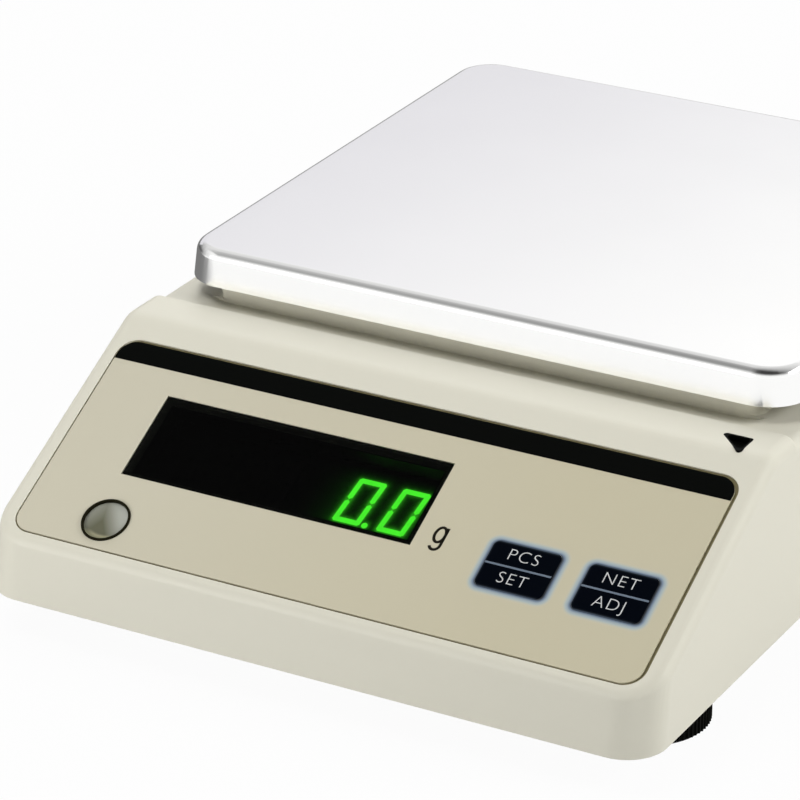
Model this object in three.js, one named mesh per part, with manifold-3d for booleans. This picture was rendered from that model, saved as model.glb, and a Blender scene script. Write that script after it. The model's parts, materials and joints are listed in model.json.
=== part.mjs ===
// Electronic balance: a wedge-fronted housing with a sloped display panel and a removable weighing pan
// Millimetres, +Z up, +X to the right of a person facing the panel, +Y away from that person.
// The origin is the centre of the footprint, on the surface that the feet stand on.

import * as THREE from 'three';
import Module from 'manifold-3d';
import { ConvexGeometry } from 'three/addons/geometries/ConvexGeometry.js';
import { mergeVertices } from 'three/addons/utils/BufferGeometryUtils.js';

const wasm = await Module();
wasm.setup();

// Fits between pieces
const seatGap = 0.3;
const fitGap = 0.3;
const cutOverrun = 1;

// Housing shell
const housingWidth = 191;
const housingDepth = 264;
const groundGap = 10;
const housingWall = 2.5;
const sideDraftDeg = 1;
const cornerRadius = 11;
const edgeRadius = 3.6;
const innerEdgeRadius = 0.6;
const frontFaceHeight = 14.2;
const panelAngleDeg = 28.1;
const ledgeHeight = 52;
const ledgeDepth = 12.1;
const ledgeBendRadius = 9;
const lipDrop = 2.1;
const lipEdgeRadius = 1;

// Raised plinth under the pan
const plinthSideMargin = 15.5;
const plinthRearMargin = 12;
const plinthHeight = 6;
const plinthSetback = 11.1;
const plinthCornerRadius = 3.5;
const plinthEdgeRadius = 1.2;

// Triangular pocket in the ledge
const notchSide = 7.8;
const notchCornerRadius = 0.5;
const notchDepth = 1.8;
const notchFromSide = 8.2;
const notchFromLip = 5.5;

// Weighing pan
const panSideMargin = 5.5;
const panRearMargin = 6.6;
const panHeight = 9.7;
const panGauge = 0.8;
const panFlare = 0.8;
const panCornerRadius = 12;
const panEdgeRadius = 3;
const panSetback = 7.1;
const panRimClearance = 4.7;

// Front overlay film
const overlaySideMargin = 5.5;
const overlayHeight = 65.1;
const overlayThickness = 0.5;
const overlayCornerRadius = 5.5;
const overlayFromEdge = 6.1;

// Display window and its LED modules
const windowWidth = 84.2;
const windowHeight = 26;
const windowThickness = 1.2;
const windowRim = 1.5;
const windowFromOverlaySide = 22;
const windowCentreUp = 37.4;
const ledRecess = 6.9;
const ledDigitPitch = 12.7;
const ledDigitsPerModule = 3;
const ledModuleHeight = 19;
const ledModuleThickness = 8;
const ledModuleGap = 0.4;

// Display board behind the panel
const boardThickness = 1.6;
const boardLeftMargin = 20.5;
const boardRightMargin = 10.5;
const boardLowEdge = 14;
const boardHighEdge = 57;
const boardPostRadius = 3;
const boardPostInset = 4;
const boardPostLow = 20.5;
const boardPostKeyGap = 6;

// Keys
const keyWidth = 18.6;
const keyHeight = 14.7;
const keyCornerRadius = 2.2;
const keyProud = 0.4;
const keyFlange = 1.2;
const keyFlangeThickness = 1;
const keyStemSize = 4;
const keyCentreUp = 24.7;
const keyFromOverlaySide = 17;
const keyPitch = 26.5;
const keyTravelGap = 0.6;
const switchSize = 6;
const switchHeight = 3.5;
const switchPlungerRadius = 1.7;
const switchPlungerHeight = 1.5;

// Spirit level
const levelFromOverlaySide = 24.8;
const levelUp = 9.7;
const levelRadius = 6.65;
const levelRingWidth = 0.85;
const levelRingProud = 0.2;
const levelRingLength = 3.2;
const levelLensThickness = 1.2;
const levelLensDrop = 0.3;
const levelCupRadius = 5.6;
const levelCupHeight = 8;
const levelCupWall = 0.9;
const levelCupFloor = 1.2;
const levelCupSetback = 1.6;
const levelCupTop = 24.6;

// Base plate
const baseThickness = 3;
const baseRecess = 0.4;

// Levelling feet
const wheelRadius = 15.5;
const wheelHeight = 6.5;
const wheelRibCount = 30;
const wheelRibDepth = 0.8;
const wheelWebThickness = 1.2;
const padRadius = 11;
const padThickness = 3;
const padProud = 1.5;
const studRadius = 3;
const studReach = 1;
const footSideInset = 18.1;
const footFrontInset = 37.3;
const footRearInset = 37.3;
const footBossRadius = 7;
const footBossHeight = 6;

// Load cell and its blocks
const cellLength = 130;
const cellWidth = 30;
const cellHeight = 22;
const cellBoreRadius = 7;
const cellBoreSpacing = 24;
const cellSlotHeight = 4;
const cellEndLength = 30;
const cellBoltSpacing = 15;
const cellPadHeight = 3;
const baseBlockHeight = 4.3;
const topBlockHeight = 6.1;

// Support frame under the pan
const frameThickness = 4;
const frameSpineWidth = 40;
const frameBarWidth = 18;
const frameRibHeight = 3;
const frameRibWidth = 3;
const postSideInset = 18;
const postEndInset = 24;
const postRadius = 4.5;
const postTipRadius = 3;
const postHoleClearance = 3;
const bufferRadius = 7;
const bufferHeight = 3.6;
const bufferCap = 1.2;

// Overload stops
const stopFromPost = 16;
const stopPillarRadius = 6;
const stopPillarHeight = 25;
const stopGap = 0.7;
const stopThread = 10;

// Screws and bolts: head radius, head height, shank radius, socket radius, socket depth
const screwSides = 12;
const socketSides = 6;
const housingScrew = { head: 2.9, headHeight: 1.8, shank: 1.5, length: 12, socket: 1.25, socketDepth: 1.1 };
const boardScrew = { head: 2.7, headHeight: 1.8, shank: 1.3, length: 7, socket: 1.15, socketDepth: 1.1 };
const cellBolt = { head: 4.2, headHeight: 3, shank: 2.5, length: 16, socket: 2.1, socketDepth: 2 };
const topBolt = { head: 4.2, headHeight: 3, shank: 2.5, length: 18, socket: 2.1, socketDepth: 2 };
const stopScrew = { head: 4, headHeight: 2.4, shank: 2, length: 12, socket: 1.6, socketDepth: 1.4 };

// Columns that take the housing screws
const columnRadius = 4;
const columnSideInset = 9.5;
const columnFrontInset = 72;
const columnRearInset = 14;

// Main board
const mainBoardWidth = 58;
const mainBoardDepth = 66;
const mainBoardSideMargin = 11.5;
const standoffRadius = 3;
const standoffHeight = 6;
const standoffInset = 4;

// Ribbon cable between the boards
const ribbonWidth = 14;
const ribbonThickness = 1;
const ribbonFromBoardEdge = 13;
const ribbonStartUp = 40;
const ribbonBend = 6;
const ribbonRunHeight = 26;
const ribbonBendSteps = 6;

// Rear connections
const rearPocketWidth = 46;
const rearPocketHeight = 25;
const rearPocketDepth = 4.2;
const rearPocketFromSide = 45.5;
const rearPocketZ = 32;
const rearPocketRadius = 2;
const switchBezelWidth = 15;
const switchBezelHeight = 21;
const switchBezelThickness = 1.5;
const switchBodyWidth = 12.4;
const switchBodyHeight = 18.4;
const switchBodyDepth = 14;
const powerSwitchOffset = 8;
const rockerWidth = 9;
const rockerHalfLength = 6.8;
const rockerRise = 1.4;
const rockerPivotDepth = 2.6;
const rockerRestDeg = 9;
const rockerKeel = 3;
const rockerKeelWidth = 4;
const rockerClearance = 0.5;
const jackWidth = 9;
const jackHeight = 11;
const jackDepth = 13;
const jackNoseRadius = 4.2;
const jackBoreRadius = 3.2;
const jackBoreDepth = 9;
const jackPinRadius = 1;
const jackPinShort = 1.2;
const jackOffset = 13;

// Smoothness of round shapes
const roundSides = 32;
const plainSides = 20;
const smallSides = 12;
const cornerSteps = 4;
const ballSides = 16;
const ballRings = 8;
const coarseBallSides = 8;
const coarseBallRings = 4;
const coarseBallRadius = 1.1;
const bendSteps = 4;
const mergeStep = 1e-4;

// Directions that are worked out from the sizes above
const panelAngle = THREE.MathUtils.degToRad(panelAngleDeg);
const draftSlope = Math.tan(THREE.MathUtils.degToRad(sideDraftDeg));
const quarterTurn = Math.PI / 2;
const ledgeZ = groundGap + ledgeHeight;
const deckZ = ledgeZ - lipDrop;
const plinthTopZ = deckZ + plinthHeight;
const leftX = -housingWidth / 2;
const rightX = housingWidth / 2;
const rearY = housingDepth / 2;
const frontY = -housingDepth / 2;
const frontEdgeZ = groundGap + frontFaceHeight;
const panelFootY = frontY + (ledgeZ - frontEdgeZ) / Math.tan(panelAngle);
const lipY = panelFootY + ledgeDepth;
const plinthWidth = housingWidth - 2 * plinthSideMargin;
const plinthDepth = rearY - plinthRearMargin - lipY - plinthSetback;
const plinthCentreY = lipY + plinthSetback + plinthDepth / 2;
const postSpanX = plinthWidth - 2 * postSideInset;
const postSpanY = plinthDepth - 2 * postEndInset;
const stopSpanX = postSpanX - 2 * stopFromPost;
const panWidth = housingWidth - 2 * panSideMargin;
const panDepth = rearY - panRearMargin - lipY - panSetback;
const panCentreY = lipY + panSetback + panDepth / 2;
const panRimZ = deckZ + panRimClearance;
const panUnderZ = panRimZ + panHeight - panGauge;

const baseBottomZ = groundGap + baseRecess;
const baseTopZ = baseBottomZ + baseThickness;
const cellBlockZ = baseTopZ + cellPadHeight + seatGap;
const cellZ = cellBlockZ + baseBlockHeight + seatGap;
const topBlockZ = cellZ + cellHeight + seatGap;
const frameZ = topBlockZ + topBlockHeight + seatGap;
const frameTopZ = frameZ + frameThickness;
const bufferZ = panUnderZ - seatGap - bufferHeight;

const boardDepth = ledRecess + ledModuleThickness + seatGap;
const boardBackDepth = boardDepth + boardThickness;

const overlayWidth = housingWidth - 2 * overlaySideMargin;
const overlayLeft = -overlayWidth / 2;
const overlayRight = overlayWidth / 2;
const windowCentreX = overlayLeft + windowFromOverlaySide + windowWidth / 2;
const levelX = overlayLeft + levelFromOverlaySide;
const keyCentresX = [overlayRight - keyFromOverlaySide - keyPitch, overlayRight - keyFromOverlaySide];
const boardLeft = leftX + boardLeftMargin;
const boardRight = rightX - boardRightMargin;
const boardPostMiddleX = keyCentresX[0] - keyWidth / 2 - keyFlange - boardPostKeyGap - boardPostRadius;
const ribbonX = boardLeft + ribbonFromBoardEdge;
const mainBoardCentreX = leftX + mainBoardSideMargin + mainBoardWidth / 2;
const mainBoardCentreY = panCentreY;
const rearPocketX = leftX + rearPocketFromSide;
const powerSwitchX = rearPocketX - powerSwitchOffset;
const jackX = rearPocketX + jackOffset;

function halfWidthAt(z) {
  return housingWidth / 2 - (z - groundGap) * draftSlope;
}

function rearYAt(z) {
  return housingDepth / 2 - (z - groundGap) * draftSlope;
}

function panelZAt(y) {
  return frontEdgeZ + (y - frontY) * Math.tan(panelAngle);
}

// Solids: a closed three.js geometry becomes a solid that can be joined and cut
function solidOf(shape) {
  if (!shape.isBufferGeometry) return shape;
  const bare = shape.clone();
  bare.deleteAttribute('normal');
  bare.deleteAttribute('uv');
  const merged = mergeVertices(bare, mergeStep);
  return new wasm.Manifold(new wasm.Mesh({
    numProp: 3,
    vertProperties: new Float32Array(merged.attributes.position.array),
    triVerts: new Uint32Array(merged.index.array),
  }));
}

function geometryOf(shape) {
  if (shape.isBufferGeometry) return shape;
  const mesh = shape.getMesh();
  const geometry = new THREE.BufferGeometry();
  geometry.setAttribute('position', new THREE.BufferAttribute(mesh.vertProperties, 3));
  geometry.setIndex(new THREE.BufferAttribute(mesh.triVerts, 1));
  const flat = geometry.toNonIndexed();
  flat.computeVertexNormals();
  return flat;
}

function joined(...shapes) {
  return shapes.map(solidOf).reduce((sum, shape) => sum.add(shape));
}

function without(shape, ...cutters) {
  return cutters.map(solidOf).reduce((rest, cutter) => rest.subtract(cutter), solidOf(shape));
}

// Plain shapes, standing on z = 0 and centred on the Z axis
function block(width, depth, height) {
  return new THREE.BoxGeometry(width, depth, height).translate(0, 0, height / 2);
}

function rod(radius, height, sides = roundSides) {
  return new THREE.CylinderGeometry(radius, radius, height, sides)
    .rotateX(quarterTurn)
    .translate(0, 0, height / 2);
}

function roundedRectangle(width, height, radius) {
  const halfWidth = width / 2;
  const halfHeight = height / 2;
  const shape = new THREE.Shape();
  shape.moveTo(-halfWidth + radius, -halfHeight);
  shape.absarc(halfWidth - radius, -halfHeight + radius, radius, -quarterTurn, 0);
  shape.absarc(halfWidth - radius, halfHeight - radius, radius, 0, quarterTurn);
  shape.absarc(-halfWidth + radius, halfHeight - radius, radius, quarterTurn, Math.PI);
  shape.absarc(-halfWidth + radius, -halfHeight + radius, radius, Math.PI, Math.PI + quarterTurn);
  return shape;
}

function slab(outline, height) {
  return new THREE.ExtrudeGeometry(outline, {
    depth: height,
    bevelEnabled: false,
    curveSegments: cornerSteps,
  });
}

// An outline given as [y, z] points, drawn out along X and centred on it
function sideProfile(points, width) {
  const outline = new THREE.Shape(points.map(([y, z]) => new THREE.Vector2(y, z)));
  const turned = new THREE.Matrix4().makeBasis(
    new THREE.Vector3(0, 1, 0),
    new THREE.Vector3(0, 0, 1),
    new THREE.Vector3(1, 0, 0),
  );
  return slab(outline, width).applyMatrix4(turned).translate(-width / 2, 0, 0);
}

// Rounded bodies are the hull of balls set into their edges
function ball(points, x, y, z, radius) {
  const rings = radius > coarseBallRadius ? ballRings : coarseBallRings;
  const sides = radius > coarseBallRadius ? ballSides : coarseBallSides;
  for (let ring = 0; ring <= rings; ring += 1) {
    const polar = Math.PI * ring / rings;
    for (let side = 0; side < sides; side += 1) {
      const turn = 2 * Math.PI * side / sides;
      points.push(new THREE.Vector3(
        x + radius * Math.sin(polar) * Math.cos(turn),
        y + radius * Math.sin(polar) * Math.sin(turn),
        z + radius * Math.cos(polar),
      ));
    }
  }
  points.push(new THREE.Vector3(x, y - radius * Math.sin(panelAngle), z + radius * Math.cos(panelAngle)));
}

function innerRadius(radius, inset) {
  return Math.max(radius - inset, innerEdgeRadius);
}

// The front part of the housing: front face, sloped panel and ledge, down to the bottom rim
function consoleBody(inset, bottomZ) {
  const points = [];
  const edge = innerRadius(edgeRadius, inset);
  const corner = Math.max(cornerRadius - inset, edge);
  const lipEdge = Math.min(lipEdgeRadius, edge);
  const frontPlane = frontY + inset;
  const backPlane = lipY - inset;
  const bendZ = ledgeZ - ledgeBendRadius;
  const bendY = frontY + (bendZ + ledgeBendRadius / Math.cos(panelAngle) - frontEdgeZ) / Math.tan(panelAngle);
  const bendReach = Math.max(ledgeBendRadius - inset - edge, 0);
  for (const side of [-1, 1]) {
    const cornerX = halfWidthAt(frontEdgeZ) - inset - corner;
    const rimX = halfWidthAt(bottomZ) - inset;
    for (let step = 0; step <= cornerSteps; step += 1) {
      const turn = -quarterTurn + quarterTurn * step / cornerSteps;
      const reach = corner - edge;
      const y = frontPlane + corner + reach * Math.sin(turn);
      const z = panelZAt(y) - (inset + edge) / Math.cos(panelAngle);
      ball(points, side * (cornerX + reach * Math.cos(turn)), y, z, edge);
      points.push(new THREE.Vector3(
        side * (rimX - corner + corner * Math.cos(turn)),
        frontPlane + corner + corner * Math.sin(turn),
        bottomZ,
      ));
    }
    for (let step = 0; step <= bendSteps; step += 1) {
      const lean = panelAngle * step / bendSteps;
      const z = bendZ + bendReach * Math.cos(lean);
      ball(points, side * (halfWidthAt(z) - inset - edge), bendY - bendReach * Math.sin(lean), z, edge);
    }
    const topX = halfWidthAt(ledgeZ) - inset - edge;
    for (let step = 0; step <= cornerSteps; step += 1) {
      const rise = quarterTurn * step / cornerSteps;
      const reach = edge - lipEdge;
      const z = ledgeZ - inset - edge + reach * Math.sin(rise);
      ball(points, side * (topX + reach * Math.cos(rise)), backPlane - lipEdge, z, lipEdge);
    }
    points.push(new THREE.Vector3(side * rimX, backPlane, bottomZ));
  }
  return new ConvexGeometry(points);
}

// The rear part of the housing, from inside the console back to the rear wall
function deckBody(inset, bottomZ) {
  const points = [];
  const edge = innerRadius(edgeRadius, inset);
  const corner = Math.max(cornerRadius - inset, edge);
  const jointY = lipY - ledgeDepth + edgeRadius;
  const topZ = deckZ - inset - edge;
  for (const side of [-1, 1]) {
    const topX = halfWidthAt(topZ) - inset;
    const rimX = halfWidthAt(bottomZ) - inset;
    ball(points, side * (topX - edge), jointY, topZ, edge);
    points.push(new THREE.Vector3(side * rimX, jointY, bottomZ));
    for (let step = 0; step <= cornerSteps; step += 1) {
      const turn = quarterTurn * step / cornerSteps;
      const reach = corner - edge;
      const topY = rearYAt(topZ) - inset - corner;
      const rimY = rearYAt(bottomZ) - inset - corner;
      const ballX = side * (topX - corner + reach * Math.cos(turn));
      ball(points, ballX, topY + reach * Math.sin(turn), topZ, edge);
      points.push(new THREE.Vector3(
        side * (rimX - corner + corner * Math.cos(turn)),
        rimY + corner * Math.sin(turn),
        bottomZ,
      ));
    }
  }
  return new ConvexGeometry(points);
}

// A tray-shaped body with rounded top edges, widening by a flare on every side towards its bottom
function trayBody(width, depth, bottomZ, topZ, cornerR, edgeR, flare = 0) {
  const points = [];
  for (const sideX of [-1, 1]) {
    for (const sideY of [-1, 1]) {
      for (let step = 0; step <= cornerSteps; step += 1) {
        const turn = quarterTurn * step / cornerSteps;
        const centreX = width / 2 - cornerR;
        const centreY = depth / 2 - cornerR;
        const reach = cornerR - flare - edgeR;
        ball(
          points,
          sideX * (centreX + reach * Math.cos(turn)),
          sideY * (centreY + reach * Math.sin(turn)),
          topZ - edgeR,
          edgeR,
        );
        points.push(new THREE.Vector3(
          sideX * (centreX + cornerR * Math.cos(turn)),
          sideY * (centreY + cornerR * Math.sin(turn)),
          bottomZ,
        ));
      }
    }
  }
  return new ConvexGeometry(points);
}

// Places on the object
const panelFrame = new THREE.Matrix4().makeRotationX(panelAngle).setPosition(
  0,
  frontY + overlayFromEdge * Math.cos(panelAngle),
  frontEdgeZ + overlayFromEdge * Math.sin(panelAngle),
);

function onPanel(geometry) {
  return geometry.applyMatrix4(panelFrame);
}

const footPlaces = [
  { name: 'front_left', side: -1, y: frontY + footFrontInset },
  { name: 'front_right', side: 1, y: frontY + footFrontInset },
  { name: 'rear_left', side: -1, y: housingDepth / 2 - footRearInset },
  { name: 'rear_right', side: 1, y: housingDepth / 2 - footRearInset },
].map((foot) => ({ ...foot, x: foot.side * (housingWidth / 2 - footSideInset) }));

const columnPlaces = [
  { name: 'front_left', side: -1, y: frontY + columnFrontInset },
  { name: 'front_right', side: 1, y: frontY + columnFrontInset },
  { name: 'rear_left', side: -1, y: housingDepth / 2 - columnRearInset },
  { name: 'rear_right', side: 1, y: housingDepth / 2 - columnRearInset },
].map((column) => ({ ...column, x: column.side * (housingWidth / 2 - columnSideInset) }));

const cornerPlaces = [
  { name: 'front_left', sideX: -1, sideY: -1 },
  { name: 'front_right', sideX: 1, sideY: -1 },
  { name: 'rear_left', sideX: -1, sideY: 1 },
  { name: 'rear_right', sideX: 1, sideY: 1 },
];

const postPlaces = cornerPlaces.map((corner) => ({
  name: corner.name,
  x: corner.sideX * postSpanX / 2,
  y: panCentreY + corner.sideY * postSpanY / 2,
}));

const stopPlaces = cornerPlaces.map((corner) => ({
  name: corner.name,
  x: corner.sideX * stopSpanX / 2,
  y: panCentreY + corner.sideY * postSpanY / 2,
}));

const mainScrewPlaces = cornerPlaces.map((corner) => ({
  name: corner.name,
  x: mainBoardCentreX + corner.sideX * (mainBoardWidth / 2 - standoffInset),
  y: mainBoardCentreY + corner.sideY * (mainBoardDepth / 2 - standoffInset),
}));

const boardPostPlaces = [
  { name: 'low_left', x: boardLeft + boardPostInset, up: boardPostLow },
  { name: 'high_left', x: boardLeft + boardPostInset, up: boardHighEdge - boardPostInset },
  { name: 'low_middle', x: boardPostMiddleX, up: boardPostLow },
  { name: 'high_right', x: boardRight - boardPostInset, up: boardHighEdge - boardPostInset },
];

const cellFreeY = panCentreY - cellLength / 2 + cellEndLength / 2;
const cellFixedY = panCentreY + cellLength / 2 - cellEndLength / 2;
const boltOffsets = [-cellBoltSpacing / 2, cellBoltSpacing / 2];

// A screw with its shank along +Z from z = 0 and its head below
function screw(kind) {
  return without(
    joined(
      rod(kind.head, kind.headHeight, screwSides).translate(0, 0, -kind.headHeight),
      rod(kind.shank, kind.length + kind.headHeight / 2, screwSides).translate(0, 0, -kind.headHeight / 2),
    ),
    rod(kind.socket, kind.socketDepth + cutOverrun, socketSides)
      .translate(0, 0, -kind.headHeight - cutOverrun),
  );
}

function screwHole(kind, length) {
  return rod(kind.shank + fitGap, length, smallSides);
}

function upperHousing() {
  const openBottomZ = groundGap - cutOverrun;
  const outer = joined(
    consoleBody(0, groundGap),
    deckBody(0, groundGap),
    trayBody(plinthWidth, plinthDepth, deckZ - housingWall, plinthTopZ, plinthCornerRadius, plinthEdgeRadius)
      .translate(0, plinthCentreY, 0),
  );
  const inner = joined(
    consoleBody(housingWall, openBottomZ),
    deckBody(housingWall, openBottomZ),
    trayBody(
      plinthWidth - 2 * housingWall,
      plinthDepth - 2 * housingWall,
      deckZ - 2 * housingWall,
      plinthTopZ - housingWall,
      plinthCornerRadius - housingWall,
      innerRadius(plinthEdgeRadius, housingWall),
    ).translate(0, plinthCentreY, 0),
  );
  const columnBottomZ = baseTopZ + seatGap;
  const columns = joined(...columnPlaces.map(({ x, y }) => (
    rod(columnRadius, ledgeZ - columnBottomZ, smallSides).translate(x, y, columnBottomZ)
  )));
  const posts = joined(...boardPostPlaces.map(({ x, up }) => (
    onPanel(rod(boardPostRadius, boardDepth - seatGap, smallSides).translate(x, up, -boardDepth + seatGap))
  )));
  const rearThickening = block(
    rearPocketWidth + 2 * housingWall,
    rearPocketDepth + 2 * housingWall,
    rearPocketHeight + 2 * housingWall,
  ).translate(
    rearPocketX,
    rearYAt(rearPocketZ) - rearPocketDepth / 2,
    rearPocketZ - rearPocketHeight / 2 - housingWall,
  );
  const inside = joined(columns, posts, rearThickening).intersect(outer);
  const body = joined(without(outer, inner), inside);

  const recess = overlayThickness + seatGap;
  const panelCuts = [
    slab(
      roundedRectangle(overlayWidth + 2 * fitGap, overlayHeight + 2 * fitGap, overlayCornerRadius + fitGap),
      recess + cutOverrun,
    ).translate(0, overlayHeight / 2, -recess),
    block(windowWidth + 2 * fitGap, windowHeight + 2 * fitGap, windowThickness + seatGap + cutOverrun)
      .translate(windowCentreX, windowCentreUp, -windowThickness - seatGap),
    block(windowWidth - 2 * windowRim, windowHeight - 2 * windowRim, housingWall + 2 * cutOverrun)
      .translate(windowCentreX, windowCentreUp, -housingWall - cutOverrun),
    ...keyCentresX.map((x) => (
      slab(
        roundedRectangle(keyWidth + 2 * fitGap, keyHeight + 2 * fitGap, keyCornerRadius + fitGap),
        housingWall + 2 * cutOverrun,
      ).translate(x, keyCentreUp, -housingWall - cutOverrun)
    )),
    rod(levelRadius + fitGap, housingWall + 2 * cutOverrun)
      .translate(levelX, levelUp, -housingWall - cutOverrun),
    ...boardPostPlaces.map(({ x, up }) => (
      screwHole(boardScrew, boardScrew.length).translate(x, up, -boardDepth)
    )),
  ].map(onPanel);

  const postHoles = postPlaces.map(({ x, y }) => (
    rod(postRadius + postHoleClearance, plinthHeight + housingWall + cutOverrun, plainSides)
      .translate(x, y, deckZ - housingWall)
  ));
  const columnHoles = columnPlaces.map(({ x, y }) => (
    screwHole(housingScrew, housingScrew.length).translate(x, y, columnBottomZ - cutOverrun)
  ));

  const floorY = rearYAt(rearPocketZ) - rearPocketDepth;
  const backward = (geometry, x) => geometry.rotateX(-quarterTurn).translate(x, 0, rearPocketZ);
  const rearCuts = [
    backward(slab(
      roundedRectangle(rearPocketWidth, rearPocketHeight, rearPocketRadius),
      rearPocketDepth + cutOverrun,
    ), rearPocketX).translate(0, floorY, 0),
    backward(block(
      switchBodyWidth + 2 * fitGap,
      switchBodyHeight + 2 * fitGap,
      2 * housingWall + cutOverrun,
    ), powerSwitchX).translate(0, floorY - 2 * housingWall, 0),
    backward(rod(jackNoseRadius + fitGap, 2 * housingWall + cutOverrun), jackX)
      .translate(0, floorY - 2 * housingWall, 0),
  ];

  return without(body, ...panelCuts, ...postHoles, ...columnHoles, ...rearCuts, ledgeNotch());
}

// A small three-cornered pocket in the ledge, its square corner at the back and outer side
function ledgeNotch() {
  const reach = notchSide - notchCornerRadius;
  const slant = quarterTurn / 2;
  const outline = new THREE.Shape();
  outline.absarc(-notchCornerRadius, -notchCornerRadius, notchCornerRadius, 0, quarterTurn);
  outline.absarc(-reach, -notchCornerRadius, notchCornerRadius, quarterTurn, Math.PI + slant);
  outline.absarc(-notchCornerRadius, -reach, notchCornerRadius, Math.PI + slant, 2 * Math.PI);
  return slab(outline, notchDepth + cutOverrun).translate(
    halfWidthAt(ledgeZ) - notchFromSide,
    lipY - notchFromLip,
    ledgeZ - notchDepth,
  );
}

function basePlate() {
  const rimInset = housingWall + fitGap;
  const width = housingWidth - 2 * rimInset;
  const depth = housingDepth - 2 * rimInset;
  const plate = slab(roundedRectangle(width, depth, cornerRadius - rimInset), baseThickness)
    .translate(0, 0, baseBottomZ);
  const bosses = footPlaces.map(({ x, y }) => (
    rod(footBossRadius, baseThickness + footBossHeight, plainSides).translate(x, y, baseBottomZ)
  ));
  const pillars = stopPlaces.map(({ x, y }) => (
    rod(stopPillarRadius, baseThickness + stopPillarHeight, plainSides).translate(x, y, baseBottomZ)
  ));
  const standoffs = mainScrewPlaces.map(({ x, y }) => (
    rod(standoffRadius, baseThickness + standoffHeight, smallSides).translate(x, y, baseBottomZ)
  ));
  const cellPad = block(cellWidth, cellEndLength, baseThickness + cellPadHeight)
    .translate(0, cellFixedY, baseBottomZ);
  const levelPlace = levelCupPlace();
  const levelPedestal = rod(levelCupRadius, levelPlace.z - seatGap - baseBottomZ, plainSides)
    .translate(levelPlace.x, levelPlace.y, baseBottomZ);

  const studHoles = footPlaces.map(({ x, y }) => (
    rod(studRadius + fitGap, baseThickness + footBossHeight + 2 * cutOverrun, smallSides)
      .translate(x, y, baseBottomZ - cutOverrun)
  ));
  const stopHoles = stopPlaces.map(({ x, y }) => (
    screwHole(stopScrew, stopThread + cutOverrun).translate(x, y, baseTopZ + stopPillarHeight - stopThread)
  ));
  const standoffHoles = mainScrewPlaces.map(({ x, y }) => (
    screwHole(boardScrew, standoffHeight + cutOverrun).translate(x, y, baseTopZ)
  ));
  const columnHoles = columnPlaces.flatMap(({ x, y }) => [
    screwHole(housingScrew, baseThickness + 2 * cutOverrun).translate(x, y, baseBottomZ - cutOverrun),
    rod(housingScrew.head + fitGap, housingScrew.headHeight + fitGap + cutOverrun, smallSides)
      .translate(x, y, baseBottomZ - cutOverrun),
  ]);
  const boltHoles = boltOffsets.flatMap((offset) => [
    screwHole(cellBolt, baseThickness + cellPadHeight + 2 * cutOverrun)
      .translate(0, cellFixedY + offset, baseBottomZ - cutOverrun),
    rod(cellBolt.head + fitGap, cellBolt.headHeight + fitGap + cutOverrun, smallSides)
      .translate(0, cellFixedY + offset, baseBottomZ - cutOverrun),
  ]);
  return without(
    joined(plate, ...bosses, ...pillars, ...standoffs, cellPad, levelPedestal),
    ...studHoles,
    ...stopHoles,
    ...standoffHoles,
    ...columnHoles,
    ...boltHoles,
  );
}

// Front panel pieces, in the panel's own frame: x across, y up the slope, z out of the panel
function frontOverlay() {
  const film = slab(roundedRectangle(overlayWidth, overlayHeight, overlayCornerRadius), overlayThickness)
    .translate(0, overlayHeight / 2, -overlayThickness);
  const through = overlayThickness + 2 * cutOverrun;
  const openings = [
    block(windowWidth + 2 * fitGap, windowHeight + 2 * fitGap, through)
      .translate(windowCentreX, windowCentreUp, 0),
    ...keyCentresX.map((x) => (
      slab(roundedRectangle(keyWidth + 2 * fitGap, keyHeight + 2 * fitGap, keyCornerRadius + fitGap), through)
        .translate(x, keyCentreUp, 0)
    )),
    rod(levelRadius + fitGap, through).translate(levelX, levelUp, 0),
  ].map((cutter) => cutter.translate(0, 0, -overlayThickness - cutOverrun));
  return without(film, ...openings);
}

function displayWindow() {
  return block(windowWidth, windowHeight, windowThickness)
    .translate(windowCentreX, windowCentreUp, -windowThickness);
}

function displayBoard() {
  const board = block(boardRight - boardLeft, boardHighEdge - boardLowEdge, boardThickness).translate(
    (boardLeft + boardRight) / 2,
    (boardLowEdge + boardHighEdge) / 2,
    -boardBackDepth,
  );
  const holes = boardPostPlaces.map(({ x, up }) => (
    screwHole(boardScrew, boardThickness + 2 * cutOverrun).translate(x, up, -boardBackDepth - cutOverrun)
  ));
  return without(board, ...holes);
}

function ledModule(side) {
  const width = ledDigitsPerModule * ledDigitPitch - ledModuleGap;
  return block(width, ledModuleHeight, ledModuleThickness).translate(
    windowCentreX + side * ledDigitsPerModule * ledDigitPitch / 2,
    windowCentreUp,
    -ledRecess - ledModuleThickness,
  );
}

function keyCap(x) {
  const flangeTop = -housingWall - seatGap;
  const flangeBottom = flangeTop - keyFlangeThickness;
  const plungerTop = -boardDepth + seatGap + switchHeight + switchPlungerHeight;
  const stemBottom = plungerTop + keyTravelGap;
  return joined(
    slab(roundedRectangle(keyWidth, keyHeight, keyCornerRadius), keyProud - flangeBottom)
      .translate(0, 0, flangeBottom),
    block(keyWidth + 2 * keyFlange, keyHeight + 2 * keyFlange, keyFlangeThickness)
      .translate(0, 0, flangeBottom),
    block(keyStemSize, keyStemSize, flangeTop - stemBottom).translate(0, 0, stemBottom),
  ).translate([x, keyCentreUp, 0]);
}

function keySwitch(x) {
  return joined(
    block(switchSize, switchSize, switchHeight),
    rod(switchPlungerRadius, switchHeight + switchPlungerHeight, smallSides),
  ).translate([x, keyCentreUp, -boardDepth + seatGap]);
}

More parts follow.
